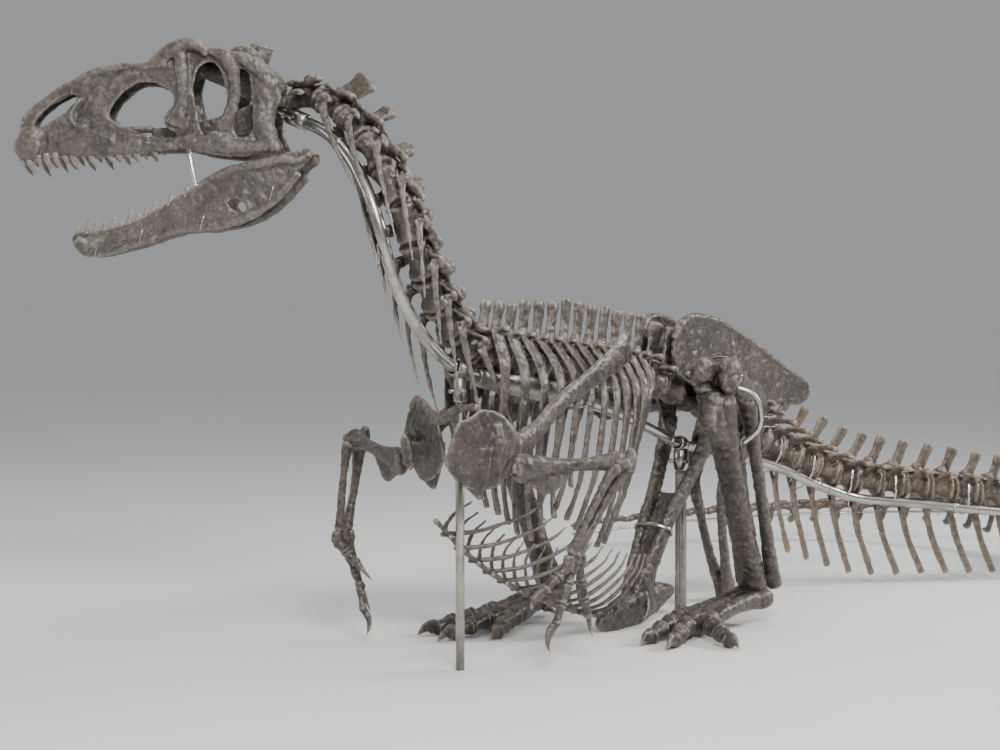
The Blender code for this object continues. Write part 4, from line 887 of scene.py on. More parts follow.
# %% Neck vertebrae and their ribs
def neck_lumps(first, last):
    lumps = []
    for i, (centre, along, span) in list(enumerate(stations(NECK_AXIS, NECK_COUNT)))[first:last]:
        back = Vector((0.3, 0.0, 1.0)).lerp(Vector((1.0, 0.0, 0.25)), min(1.0, i / 4))
        radius = 0.026 + 0.01 * i / NECK_COUNT
        reach = 0.052 + 0.02 * i / NECK_COUNT
        spine = (0.112 - 0.0022 * i + 0.006 * math.cos(1.7 * i), 0.02, 0.0085, 0.004)
        if i == 0:
            spine = (0.06, 0.018, 0.008, 0.0)
        elif i == 1:
            spine = (0.108, 0.038, 0.009, 0.024)
        wings = (reach, -0.01, 0.012, 0.018)
        lumps += vertebra(centre, along, back, radius, span, spine, wings, knob=1.7)
        side = along.cross(back).normalized()
        up = side.cross(along).normalized()
        for s in (1, -1):
            start = centre + side * s * 0.01 + up * radius
            mid = centre + side * s * 0.032 + up * (radius + 0.008) + along * span * 0.25
            end = centre + side * s * 0.036 + up * (radius + 0.015) + along * span * 0.64
            lumps.append(bar(
                [start, mid, end], [(0.017, 0.012), (0.013, 0.01), (0.014, 0.008)], up, 10, 4))
            ahead = centre + side * s * 0.03 + up * (radius + 0.004) - along * span * 0.44
            lumps.append(bar(
                [start, mid - along * span * 0.35, ahead],
                [(0.012, 0.009), (0.009, 0.007), (0.011, 0.006)], up, 10, 4))
            if i > 0:
                root = centre + side * s * (reach - 0.012) - up * 0.004 + along * 0.004
                bend = centre + side * s * (reach - 0.006) - up * 0.03 + along * 0.03
                fall = 0.17 + 0.05 * math.sin(0.9 * i)
                tip = bend + along * fall * 0.75 - up * 0.03 + Vector((0.0, 0.0, -fall * 0.45))
                middle = bend.lerp(tip, 0.45) + side * s * 0.005 - up * 0.006
                fore = bend - along * 0.034 + up * 0.004
                lumps.append(bar(
                    [root, bend, middle, tip],
                    [(0.009, 0.011), (0.0075, 0.01), (0.0048, 0.0058), (0.0026, 0.0026)], up, 10, 5))
                lumps.append(bar([bend, fore], [(0.007, 0.009), (0.003, 0.004)], up, 10, 3))
    return lumps


bone("neck_upper_bone", neck_lumps(0, NECK_COUNT // 2), 0.0026, ["neck_upper"], rugged=0.8)
bone("neck_lower_bone", neck_lumps(NECK_COUNT // 2, NECK_COUNT), 0.0028, ["neck_lower"], rugged=0.85)
print("neck faces", COUNTS["neck_upper_bone"] + COUNTS["neck_lower_bone"])

# %% [markdown]
# ## Trunk
#
# Thirteen back vertebrae hold twelve pairs of ribs. A rib has two heads, one on the spool and one
# on the side wing, bows out and then hangs nearly straight. The front ones are short and broad,
# the ones at the waist the longest. The spines are plates with rough, swollen tops where ligaments
# held.

# %% Back vertebrae and ribs
RIB_BOTTOM = [0.56, 0.48, 0.43, 0.4, 0.375, 0.35, 0.32, 0.29, 0.265, 0.27, 0.32, 0.4]
RIB_TOP = 0.045
RIB_OUT = [0.085, 0.105, 0.122, 0.135, 0.142, 0.147, 0.15, 0.15, 0.145, 0.138, 0.125, 0.105]


def rib_lumps(centre, index, side):
    out = RIB_OUT[index]
    drop = centre.z - RIB_BOTTOM[index]
    sweep = -0.012 - 0.013 * index
    stray = 0.006 * math.sin(4.1 * index + side)
    rows = [
        (0.052, 0.004, -0.03, 0.007, 0.013), (0.75 * out, 0.01, 0.14, 0.0072, 0.0145),
        (out * 0.97, 0.18 * sweep, 0.27, 0.0066, 0.013), (out, 0.36 * sweep, 0.42, 0.0062, 0.0115),
        (out * 0.97, 0.66 * sweep, 0.68, 0.0056, 0.01),
        (out * 0.86, 0.86 * sweep + stray, 0.86, 0.0052, 0.009),
        (out * 0.72, sweep + stray, 1.0, 0.006, 0.01)]
    points = [
        (centre.x + shift, side * y, centre.z + RIB_TOP - (drop + RIB_TOP) * fall)
        for y, shift, fall, _, _ in rows]
    broad = 1.12 + 0.62 * max(0.0, 1.0 - index / 4)
    sizes = [(thin * 1.1, wide * broad) for _, _, _, thin, wide in rows]
    lumps = [bar(points, sizes, LENGTHWISE, 12, 8)]
    heads = [
        (centre.x - 0.004, side * 0.03, centre.z + 0.006),
        (centre.x + 0.002, side * 0.052, centre.z + 0.016), points[1]]
    lumps.append(bar(heads, [(0.0085, 0.0105), (0.0065, 0.0085), (0.0068, 0.011)], LENGTHWISE, 10, 5))
    return lumps


def back_lumps():
    lumps = []
    for i, (centre, along, span) in enumerate(stations(TRUNK_AXIS, TRUNK_COUNT)):
        height = 0.128 + 0.044 * min(1.0, i / 6) + 0.003 * math.sin(2.3 * i)
        radius = 0.036 + 0.004 * i / TRUNK_COUNT
        lumps += vertebra(
            centre, along, UP, radius, span, (height, 0.019, 0.0085, 0.01),
            (0.074, 0.045, 0.014, 0.018), knob=1.3)
        for s in (1, -1):
            lumps.append(bar(
                [centre + Vector((0.0, s * 0.02, 0.01)), centre + Vector((0.004, s * 0.048, 0.046))],
                [(0.01, 0.006), (0.008, 0.005)], LENGTHWISE, 8, 3))
    return lumps


ribs = {1: [], -1: []}
trunk = stations(TRUNK_AXIS, TRUNK_COUNT)
for i, (centre, _, _) in enumerate(trunk[:len(RIB_BOTTOM)]):
    for side in ribs:
        ribs[side] += rib_lumps(centre, i, side)
bone("back_bone", back_lumps(), 0.003, ["trunk_left", "trunk_right"], rugged=1.1)
bone("ribs_left", ribs[-1], 0.0027, ["trunk_left"], rugged=0.75)
bone("ribs_right", ribs[1], 0.0027, ["trunk_right"], rugged=0.75)
print("trunk faces", COUNTS["back_bone"] + COUNTS["ribs_left"] + COUNTS["ribs_right"])

# %% [markdown]
# ## Hip row and tail
#
# Five fused vertebrae pass between the hip blades. Behind them the tail tapers through forty-six.
# Each has a blade-like spine that leans back, swept side wings, and a chevron: a bone hung
# below the joint that kept the tail's blood vessels safe. These all fade out towards the tip, and
# the counts below say where. The rear chevrons end in a boot.

# %% Hip vertebrae and tail
WINGED = 17
SPINED = 30
CHEVRONED = 38
BOOTED = 15
NOTHING = (0.0, 0.0, 0.0, 0.0)


def sacrum_lumps():
    lumps = []
    for centre, along, span in stations(SACRUM_AXIS, SACRUM_COUNT):
        lumps += vertebra(
            centre, along, UP, 0.04, span * 1.04, (0.165, 0.032, 0.009, 0.006),
            (0.08, 0.02, 0.004, 0.022), knob=1.6)
    return lumps


def chevron_lumps(centre, along, span, radius, i):
    long = 0.25 * max(0.14, 1.0 - max(0, i - 9) / 22)
    joint = centre + along * span * 0.45
    side = along.cross(UP).normalized()
    join = joint - UP * (radius + long * 0.22) + along * long * 0.02
    mid = joint - UP * (radius + long * 0.55) + along * long * 0.11
    low = joint - UP * (radius + long) + along * long * 0.3
    low.z = max(low.z, 0.03)
    mid.z = max(mid.z, 0.035)
    lumps = [bar([join, mid, low], [(0.006, 0.013), (0.0052, 0.012), (0.0056, 0.013)], along, 10, 5)]
    if i >= BOOTED:
        lumps.append(bar(
            [low - along * long * 0.16 + UP * 0.004, low, low + along * long * 0.3 + UP * 0.006],
            [(0.005, 0.007), (0.006, 0.01), (0.0045, 0.006)], UP, 10, 4))
    for s in (1, -1):
        top = joint - UP * radius * 0.7 + side * s * min(0.016, radius * 0.5)
        lumps.append(bar(
            [top, joint - UP * (radius + long * 0.1) + side * s * min(0.012, radius * 0.4), join],
            [(0.006, 0.008), (0.0052, 0.009), (0.0055, 0.011)], along, 8, 3))
    return lumps


def tail_radius(i):
    return 0.053 - 0.045 * (i / (TAIL_COUNT - 1)) ** 0.8


def tail_lumps(first, last):
    lumps = []
    for i, (centre, along, span) in list(enumerate(stations(TAIL_AXIS, TAIL_COUNT)))[first:last]:
        radius = tail_radius(i)
        fade = max(0.0, 1.0 - i / SPINED)
        reach = radius + 0.095 * max(0.0, 1.0 - i / WINGED)
        wings = (reach, 0.038, 0.03 * fade, 0.02) if i < WINGED else NOTHING
        height = 0.178 - 0.004 * i + 0.002 * math.sin(1.9 * i)
        spine = (height, 0.0175, 0.0072, 0.036 * fade + 0.008) if i < SPINED else NOTHING
        lumps += vertebra(
            centre, along, UP, radius, span, spine, wings, knob=1.12, waist=0.62, bridge=0.0)
        if 0 < i < CHEVRONED:
            lumps += chevron_lumps(centre, along, span, radius, i)
    return lumps


bone("sacrum_bone", sacrum_lumps(), 0.003, ["sacrum"], rugged=1.1)
TAIL_PARTS = [(0, 6, 0.0031), (6, 12, 0.0031), (12, 20, 0.0029), (20, 31, 0.0026), (31, 46, 0.0021)]
for k, (first, last, voxel) in enumerate(TAIL_PARTS):
    bone(
        "tail_bone_%d" % (k + 1), tail_lumps(first, last), voxel, ["tail_%d" % (k + 1)],
        finish=TAIL_BONE, rugged=1.0 - 0.14 * k)
print("tail faces", sum(n for name, n in COUNTS.items() if name.startswith("tail_bone")))

# %% [markdown]
# ## Shoulders and wishbone
#
# The shoulder blade is a long strap, wide at its end. It grows out of a rounded plate with a
# hooked lower corner, and the arm's socket sits where the two meet. A thin wishbone spans the
# front.

# %% Shoulder blades and wishbone
BLADES = {
    -1: [
        (-1.215, -0.14, 0.53), (-1.15, -0.158, 0.548), (-1.06, -0.155, 0.592), (-0.945, -0.152, 0.655),
        (-0.82, -0.155, 0.705), (-0.7, -0.155, 0.755), (-0.625, -0.152, 0.792)],
    1: [
        (-1.17, 0.16, 0.53), (-1.11, 0.178, 0.548), (-1.03, 0.17, 0.592), (-0.915, 0.16, 0.655),
        (-0.79, 0.158, 0.705), (-0.67, 0.156, 0.755), (-0.595, 0.152, 0.792)]}
CORACOIDS = {
    -1: [
        (-1.15, -0.16, 0.548), (-1.205, -0.14, 0.552), (-1.265, -0.112, 0.556),
        (-1.318, -0.086, 0.572)],
    1: [(-1.11, 0.196, 0.548), (-1.128, 0.165, 0.552), (-1.146, 0.115, 0.556), (-1.156, 0.064, 0.565)]}
FACING = {-1: (-0.7, -0.7, 0.0), 1: (-0.95, -0.3, 0.0)}


def shoulder_lumps(side):
    flat = CORACOIDS[side]
    lumps = [bar(
        BLADES[side],
        [
            (0.05, 0.015), (0.044, 0.016), (0.027, 0.013), (0.024, 0.011), (0.027, 0.0095),
            (0.036, 0.0095), (0.046, 0.0105)],
        (0.0, side, 0.0), 20, 8, 0.25)]
    lumps.append(bar(
        flat, [(0.044, 0.017), (0.09, 0.012), (0.096, 0.0085), (0.055, 0.0065)], FACING[side], 24, 6))
    hook = Vector(flat[2]) + Vector((0.01, 0.0, -0.07))
    lumps.append(bar(
        [Vector(flat[2]), hook, hook + Vector((0.02, 0.004, -0.045))],
        [(0.05, 0.01), (0.034, 0.009), (0.01, 0.007)], FACING[side], 16, 5))
    rim = Vector(flat[1])
    face = Vector(FACING[side])
    socket = Vector(BLADES[side][1]) + Vector((0.0, side * 0.004, -0.036))
    lumps.append(bar(
        [
            socket + Vector((-0.03, side * 0.006, -0.004)), socket + Vector((0.0, side * 0.014, -0.01)),
            socket + Vector((0.034, side * 0.01, 0.002))],
        [(0.014, 0.012), (0.018, 0.014), (0.013, 0.011)], (0.0, side, 0.0), 12, 4))
    lumps.append(bar(
        [
            rim + face * 0.01 + UP * 0.062, rim + face * 0.015 + UP * 0.02,
            rim + face * 0.012 - UP * 0.03],
        [(0.01, 0.008), (0.016, 0.011), (0.009, 0.008)], face, 12, 4))
    return lumps


for side, word in SIDES:
    bone("scapula_bone_" + word, shoulder_lumps(side), 0.003, ["scapula_" + word], rugged=0.9)
WISHBONE = [
    (-1.165, 0.15, 0.64), (-1.192, 0.11, 0.666), (-1.222, 0.05, 0.64), (-1.24, 0.004, 0.622),
    (-1.24, -0.05, 0.65), (-1.24, -0.105, 0.655)]
bone(
    "wishbone",
    [bar(
        WISHBONE,
        [(0.007, 0.009), (0.008, 0.01), (0.009, 0.011), (0.012, 0.014), (0.009, 0.011), (0.007, 0.009)],
        UP, 12, 6)],
    0.0022, ["furcula"], rugged=0.8)
print("shoulder faces", COUNTS["scapula_bone_left"] + COUNTS["scapula_bone_right"])

# %% [markdown]
# ## Hips
#
# The upper hip bone is a thin blade with a thick lower edge arched over the socket, so it is cut
# from an outline like the skull. Below hang the pubis, whose two shafts end in a heavy boot on the
# ground, and the ischium, swept back.

# %% Hip blades, pubis and ischium
HIP_OUTLINE = [
    (-0.222, 0.757), (-0.21, 0.815), (-0.185, 0.85), (-0.145, 0.866), (-0.08, 0.866), (0.000, 0.852),
    (0.08, 0.828), (0.16, 0.793), (0.24, 0.753), (0.32, 0.714), (0.4, 0.679), (0.45, 0.656),
    (0.466, 0.628), (0.458, 0.6), (0.42, 0.588), (0.36, 0.588), (0.3, 0.592), (0.268, 0.575),
    (0.266, 0.535), (0.252, 0.504), (0.222, 0.5), (0.204, 0.53), (0.19, 0.575), (0.16, 0.618),
    (0.11, 0.634), (0.06, 0.622), (0.03, 0.59), (0.012, 0.555), (-0.002, 0.525), (-0.035, 0.512),
    (-0.07, 0.524), (-0.08, 0.57), (-0.088, 0.62), (-0.112, 0.655), (-0.15, 0.676), (-0.195, 0.7)]
HIP_FLARE = [
    (-0.22, 0.056), (-0.12, 0.068), (0.0, 0.08), (0.12, 0.092), (0.24, 0.108), (0.34, 0.128),
    (0.46, 0.144)]


# Rows are (x, z, outwards, half depth, half thickness).
HIP_STRUTS = [
    [  # the upper rim
        (-0.21, 0.8, 0.0, 0.01, 0.01), (-0.145, 0.858, 0.0, 0.01, 0.012),
        (0.0, 0.845, 0.0, 0.01, 0.012), (0.16, 0.787, 0.0, 0.01, 0.012),
        (0.32, 0.708, 0.0, 0.01, 0.011), (0.448, 0.65, 0.0, 0.01, 0.01)],
    [  # the hood over the socket
        (-0.02, 0.56, 0.004, 0.014, 0.018), (0.01, 0.612, 0.018, 0.016, 0.02),
        (0.06, 0.648, 0.028, 0.016, 0.022), (0.11, 0.66, 0.03, 0.015, 0.022),
        (0.165, 0.644, 0.024, 0.015, 0.02), (0.215, 0.59, 0.008, 0.014, 0.018)],
    [  # the ridge up the blade
        (0.085, 0.655, 0.016, 0.02, 0.012), (0.07, 0.74, 0.006, 0.013, 0.01),
        (0.06, 0.82, 0.002, 0.01, 0.007)],
    [  # the peg for the pubis
        (-0.036, 0.65, 0.0, 0.044, 0.014), (-0.036, 0.57, 0.0, 0.034, 0.019),
        (-0.036, 0.53, 0.0, 0.032, 0.022)],
    [  # the peg for the ischium
        (0.236, 0.61, 0.0, 0.03, 0.013), (0.236, 0.55, 0.0, 0.026, 0.018),
        (0.236, 0.518, 0.0, 0.026, 0.021)],
    [  # the shelf at the rear
        (0.262, 0.604, -0.004, 0.008, 0.012), (0.35, 0.606, -0.008, 0.008, 0.018),
        (0.44, 0.606, -0.004, 0.008, 0.012)]]


def hip_y(x):
    return read_off(HIP_FLARE, x)


def hip_lumps(side):
    def bent(x, z, t):
        return (x, side * (hip_y(x) - 0.02 * max(0.0, 0.62 - z) / 0.12 + t), z)

    def strut(rows):
        points = [bent(x, z, out) for x, z, out, _, _ in rows]
        return bar(points, [(deep, thick) for _, _, _, deep, thick in rows], CROSSWISE, 12, 5)

    return [plate(HIP_OUTLINE, [], 0.007, bent, 0.003)] + [strut(rows) for rows in HIP_STRUTS]


for side, word in SIDES:
    bone("hip_blade_" + word, hip_lumps(side), 0.003, ["ilium_" + word], rugged=1.0)

PUBIS_SHAFT = [
    (-0.02, 0.072, 0.565), (-0.055, 0.066, 0.48), (-0.12, 0.052, 0.39), (-0.225, 0.034, 0.255),
    (-0.3, 0.022, 0.13), (-0.335, 0.014, 0.05)]
BOOT = [
    (-0.512, 0.0, 0.03), (-0.46, 0.0, 0.032), (-0.37, 0.0, 0.046), (-0.29, 0.0, 0.056),
    (-0.2, 0.0, 0.066), (-0.13, 0.0, 0.072)]
ISCHIUM_SHAFT = [
    (0.225, 0.088, 0.525), (0.165, 0.074, 0.455), (0.1, 0.055, 0.385), (0.11, 0.036, 0.27),
    (0.155, 0.024, 0.13), (0.195, 0.01, 0.045), (0.205, 0.01, 0.002)]
lumps = [
    bar(
        [(-0.13, 0.0, 0.35), (-0.235, 0.0, 0.245), (-0.305, 0.0, 0.13)],
        [(0.052, 0.006), (0.04, 0.007), (0.03, 0.012)], (1.0, 0.0, 0.3), 14, 5),
    bar(
        BOOT,
        [
            (0.014, 0.022), (0.026, 0.036), (0.034, 0.052), (0.034, 0.052), (0.026, 0.036),
            (0.012, 0.016)],
        UP, 18, 6)]
ischium_lumps = []
for s in (1, -1):
    lumps.append(bar(
        [(x, s * y, z) for x, y, z in PUBIS_SHAFT],
        [(0.023, 0.042), (0.017, 0.034), (0.017, 0.025), (0.018, 0.026), (0.019, 0.034), (0.02, 0.05)],
        LENGTHWISE, 16, 6))
    ischium_lumps.append(bar(
        [(x, s * y, z) for x, y, z in ISCHIUM_SHAFT],
        [
            (0.02, 0.034), (0.012, 0.044), (0.012, 0.04), (0.013, 0.017), (0.014, 0.016),
            (0.018, 0.033), (0.016, 0.03)],
        LENGTHWISE, 16, 6))
bone("pubis_bone", lumps, 0.003, ["pubis"], rugged=1.2)
bone("ischium_bone", ischium_lumps, 0.003, ["ischium"], rugged=1.1)
print("hip faces", COUNTS["hip_blade_left"] + COUNTS["hip_blade_right"] + COUNTS["pubis_bone"])

# %% [markdown]
# ## Legs
#
# The thigh bone has a ball turned in to the hip and two round knobs at the knee. The shin is a
# heavy bone with a crest in front and a thin partner outside. The foot stands on its toes, with
# three long bones, then three clawed toes and a small one that clears the ground.

# %% Leg joints and the three long leg bones
HIP = {-1: Vector((0.1, -0.085, 0.61)), 1: Vector((0.1, 0.085, 0.61))}
KNEE = {-1: Vector((-0.454, -0.322, 0.719)), 1: Vector((-0.55, 0.315, 0.6))}
SHIN_TOP = {-1: Vector((-0.432, -0.312, 0.65)), 1: Vector((-0.528, 0.312, 0.535))}
ANKLE = {-1: Vector((-0.135, -0.268, 0.105)), 1: Vector((-0.345, 0.273, 0.09))}
TOE_BASE = {-1: Vector((-0.405, -0.235, 0.044)), 1: Vector((-0.615, 0.25, 0.044))}
TOE_TIPS = {
    -1: [(-0.64, -0.205), (-0.665, -0.3), (-0.553, -0.45)],
    1: [(-0.8, 0.165), (-0.905, 0.262), (-0.85, 0.37)]}
SHIN_UP = (0.3, 1.0, 0.0)


def femur_lumps(side):
    hip, knee = HIP[side], KNEE[side]
    neck = hip + Vector((0.0, side * 0.06, 0.004))
    along = (knee - neck).normalized()
    across = along.cross(UP).normalized()
    top = across.cross(along)
    shaft = [
        neck - along * 0.02, neck.lerp(knee, 0.08), neck.lerp(knee, 0.22),
        neck.lerp(knee, 0.5) + UP * 0.018, neck.lerp(knee, 0.8) + UP * 0.008, knee - along * 0.04]
    lumps = [bar(
        shaft,
        [(0.04, 0.04), (0.042, 0.042), (0.037, 0.036), (0.031, 0.031), (0.035, 0.033), (0.05, 0.036)],
        UP, 20, 6)]
    lumps.append(round_bar(
        [hip - Vector((0.0, side * 0.006, 0.0)), hip + Vector((0.0, side * 0.022, 0.002)), neck],
        [0.034, 0.04, 0.034], UP, 20, 5))
    lumps.append(bar(
        [
            neck + across * side * -0.028 + along * 0.01, neck + across * side * -0.038 + along * 0.06,
            neck + across * side * -0.03 + along * 0.11],
        [(0.016, 0.03), (0.014, 0.026), (0.008, 0.012)], top, 14, 4))
    lumps.append(bar(
        [
            neck.lerp(knee, 0.3) - top * 0.028, neck.lerp(knee, 0.38) - top * 0.038,
            neck.lerp(knee, 0.46) - top * 0.024],
        [(0.008, 0.012), (0.008, 0.016), (0.006, 0.01)], top, 12, 4))
    for turn, rise, drop, size in ((-1, 0.028, 0.04, 0.031), (1, 0.022, 0.006, 0.036)):
        core = knee + across * 0.036 * turn * -side
        lumps.append(round_bar(
            [
                core - along * 0.064, core - along * 0.024 + UP * rise * 0.3,
                core + along * 0.006 + UP * rise * 0.4],
            [0.024, size * 1.04, size * 0.86], UP, 18, 5))
        lumps.append(round_bar(
            [
                core - along * 0.01 + UP * rise, core - along * 0.006 - UP * drop * 0.5,
                core - along * 0.016 - UP * (drop + 0.01)],
            [size * 0.72, size * 0.96, size * 0.6], CROSSWISE, 18, 5))
    knob = knee + across * 0.03 * -side - UP * 0.04 - along * 0.01
    lumps.append(round_bar(
        [knob + UP * 0.016, knob - UP * 0.006], [0.016, 0.019], CROSSWISE, 14, 4))
    return lumps


def tibia_lumps(side):
    top, ankle = SHIN_TOP[side], ANKLE[side]
    stops = (0.0, 0.05, 0.14, 0.3, 0.6, 0.84, 0.95, 1.0)
    lumps = [bar(
        [top.lerp(ankle, t) for t in stops],
        [
            (0.036, 0.066), (0.037, 0.064), (0.034, 0.054), (0.031, 0.044), (0.029, 0.04),
            (0.032, 0.044), (0.036, 0.048), (0.033, 0.046)],
        SHIN_UP, 20, 5)]
    crest = Vector((-0.052, -0.004, -0.03))
    lumps.append(bar(
        [
            top + crest * 0.3 + UP * 0.006, top + crest * 0.45 - UP * 0.05,
            top.lerp(ankle, 0.22) + crest * 0.25, top.lerp(ankle, 0.36)],
        [(0.034, 0.04), (0.03, 0.04), (0.02, 0.03), (0.014, 0.018)], SHIN_UP, 16, 5))
    lumps.append(bar(
        [top + crest * 0.9, top + crest - UP * 0.04, top.lerp(ankle, 0.2) + crest * 0.5],
        [(0.016, 0.03), (0.014, 0.028), (0.012, 0.016)], SHIN_UP, 14, 5))
    lumps.append(bar(
        [top.lerp(ankle, 0.8) + Vector((-0.02, 0.0, -0.01)), ankle + Vector((-0.03, 0.0, 0.01))],
        [(0.01, 0.014), (0.014, 0.034)], SHIN_UP, 12, 4))
    return lumps


def fibula_lumps(side):
    top, ankle = SHIN_TOP[side], ANKLE[side]
    out = Vector((0.052, side * 0.06, 0.0))
    points = [
        top + out - UP * 0.006, top.lerp(ankle, 0.06) + out, top.lerp(ankle, 0.14) + out,
        top.lerp(ankle, 0.5) + out * 0.92, top.lerp(ankle, 0.88) + out * 0.8,
        ankle + out * 0.74 + UP * 0.008]
    return [bar(
        points,
        [
            (0.016, 0.034), (0.017, 0.032), (0.016, 0.025), (0.014, 0.019), (0.018, 0.024),
            (0.022, 0.028)],
        SHIN_UP, 16, 6)]


for side, word in SIDES:
    bone("femur_bone_" + word, femur_lumps(side), 0.0034, ["femur_" + word], rugged=1.2)
    bone("tibia_bone_" + word, tibia_lumps(side), 0.0034, ["tibia_" + word], rugged=1.1)
    bone("fibula_bone_" + word, fibula_lumps(side), 0.003, ["fibula_" + word], rugged=0.9)
print(
    "leg faces", sum(COUNTS[n] for n in ("femur_bone_left", "tibia_bone_left", "fibula_bone_left")),
    "a side")

# %% [markdown]
# ## Toes, fingers and claws
#
# A toe is a row of short bones, each waisted with a rounded pulley at both ends, closed by a
# hooked claw. The same function makes fingers: it takes a start, a tip, a size, how many bones,
# and which way the claw arches.

# %% A row of toe or finger bones
def digit(start, end, radius, count, arch, claw, bulge, up=UP):
    """Bones from start to end; claw is the claw's share of the length, bulge the side it arches to."""
    start, end, bulge = Vector(start), Vector(end), Vector(bulge)
    body = 1.0 - claw

    def place(t):
        return start.lerp(end, t) + bulge * arch * 4 * t * (1 - t)

    lumps = []
    stops = (
        (0.015, 0.86), (0.09, 1.08), (0.24, 0.9), (0.52, 0.74), (0.78, 0.84), (0.9, 1.04),
        (0.975, 0.82))
    for k in range(count):
        size = radius * (1.0 - 0.35 * body * (k + 0.5) / count)
        lumps.append(bar(
            [place(body * (k + t) / count) for t, _ in stops],
            [(size * s, size * s * 1.04) for _, s in stops], up, 14, 3, 0.45))
    size = radius * 0.72
    root = place(body)
    hooks = (
        (0.0, 0.1, 0.95), (0.16, 0.3, 1.06), (0.4, 0.46, 0.8), (0.66, 0.4, 0.54), (0.86, 0.2, 0.32),
        (1.0, 0.0, 0.12))
    reach = (end - root).length
    points = [root.lerp(end, t) + bulge * rise * reach * 0.42 for t, rise, _ in hooks]
    lumps.append(bar(points, [(size * s * 0.62, size * s) for _, _, s in hooks], bulge, 12, 4, 0.3))
    return lumps


def foot_lumps(side):
    ankle, base = ANKLE[side], TOE_BASE[side]
    across = UP.cross(base - ankle).normalized()
    under = ankle - UP * 0.03
    lumps = [round_bar(
        [
            under - across * 0.048, under - across * 0.026, under - UP * 0.003, under + across * 0.026,
            under + across * 0.048],
        [0.027, 0.032, 0.027, 0.032, 0.027], UP, 18, 4)]
    order = (1, 0, -1) if side == 1 else (-1, 0, 1)
    for place, tip in zip(order, TOE_TIPS[side]):
        knuckle = base + across * 0.04 * place
        heel = ankle + across * 0.024 * place - UP * 0.03
        waist = heel.lerp(knuckle, 0.45) + UP * 0.006
        lumps.append(bar(
            [
                heel, heel.lerp(knuckle, 0.1), waist, knuckle.lerp(heel, 0.16),
                knuckle.lerp(heel, 0.06), knuckle],
            [
                (0.025, 0.029), (0.025, 0.028), (0.019, 0.022), (0.023, 0.024), (0.028, 0.029),
                (0.024, 0.026)],
            UP, 16, 5))
        lumps += digit(
            knuckle + (knuckle - heel).normalized() * 0.016, (tip[0], tip[1], 0.006), 0.028, 3, 0.006,
            0.24, UP)
    inner = ankle.lerp(base, 0.45) + Vector((0.0, -side * 0.02, -0.01))
    lumps += digit(
        inner, inner + Vector((0.03, -side * 0.06, -0.042)), 0.014, 1, 0.004, 0.45,
        Vector((-0.6, 0.0, 0.8)))
    return lumps


for side, word in SIDES:
    bone("foot_bone_" + word, foot_lumps(side), 0.0026, ["foot_" + word], rugged=0.75)
print("foot faces", COUNTS["foot_bone_left"])

# %% [markdown]
# ## Arms and hands
#
# The arms are short and strong. The upper arm has a big flange that the chest muscles pulled on,
# the forearm is two bones with an elbow hook, and the hand has three fingers, the inner one with
# the largest claw.

# %% Arm bones
SHOULDER = {-1: Vector((-1.168, -0.171, 0.507)), 1: Vector((-1.136, 0.202, 0.5))}
ELBOW = {-1: Vector((-0.879, -0.289, 0.509)), 1: Vector((-1.002, 0.465, 0.544))}
WRIST = {-1: Vector((-0.979, -0.215, 0.29)), 1: Vector((-1.006, 0.5, 0.303))}
ULNA_RADII = [0.023, 0.02, 0.014, 0.0115, 0.014, 0.018]
RADIUS_RADII = [0.017, 0.014, 0.0105, 0.01, 0.012, 0.016]
FINGERS = [(0.017, 2, 0.42), (0.0155, 3, 0.32), (0.013, 3, 0.26)]
FINGER_TIPS = {
    -1: [(-1.106, -0.173, 0.157), (-1.08, -0.21, 0.048), (-0.936, -0.243, 0.07)],
    1: [(-1.01, 0.4, 0.17), (-0.978, 0.43, 0.08), (-1.024, 0.41, 0.02)]}


def humerus_lumps(side):
    shoulder, elbow = SHOULDER[side], ELBOW[side]
    stops = (0.0, 0.06, 0.18, 0.46, 0.78, 0.92, 1.0)
    lumps = [bar(
        [shoulder.lerp(elbow, t) for t in stops],
        [
            (0.02, 0.034), (0.021, 0.036), (0.018, 0.03), (0.0145, 0.017), (0.016, 0.018),
            (0.024, 0.026), (0.022, 0.025)],
        UP, 18, 5)]
    flange = (
        (0.08, 0.006, 0.01, 0.022), (0.22, 0.034, 0.008, 0.026), (0.32, 0.046, 0.008, 0.022),
        (0.4, 0.03, 0.008, 0.018), (0.5, 0.01, 0.008, 0.01))
    lumps.append(bar(
        [shoulder.lerp(elbow, t) - UP * low for t, low, _, _ in flange],
        [(thin, deep) for _, _, thin, deep in flange], UP, 14, 5))
    across = (elbow - shoulder).cross(UP).normalized()
    for shift in (-0.014, 0.014):
        core = elbow + across * shift
        lumps.append(round_bar(
            [core + (shoulder - elbow).normalized() * 0.024, core - UP * 0.006, core - UP * 0.012],
            [0.014, 0.019, 0.013], UP, 14, 4))
    return lumps


def forearm_lumps(side, outer):
    elbow, wrist = ELBOW[side], WRIST[side]
    shift = Vector((0.036, 0.006, 0.0)) if outer else Vector((-0.03, -0.004, 0.0))
    top = elbow + shift - UP * 0.014
    points = [
        top, elbow.lerp(wrist, 0.12) + shift, elbow.lerp(wrist, 0.3) + shift,
        elbow.lerp(wrist, 0.6) + shift * 0.94, elbow.lerp(wrist, 0.9) + shift * 0.64,
        wrist + shift * 0.55]
    lumps = [round_bar(points, ULNA_RADII if outer else RADIUS_RADII, UP, 16, 5)]
    if outer:
        lumps.append(round_bar(
            [top - UP * 0.01, top + Vector((0.012, 0.0, 0.014)), top + Vector((0.022, 0.0, 0.036))],
            [0.02, 0.019, 0.011], UP, 14, 4))
    return lumps


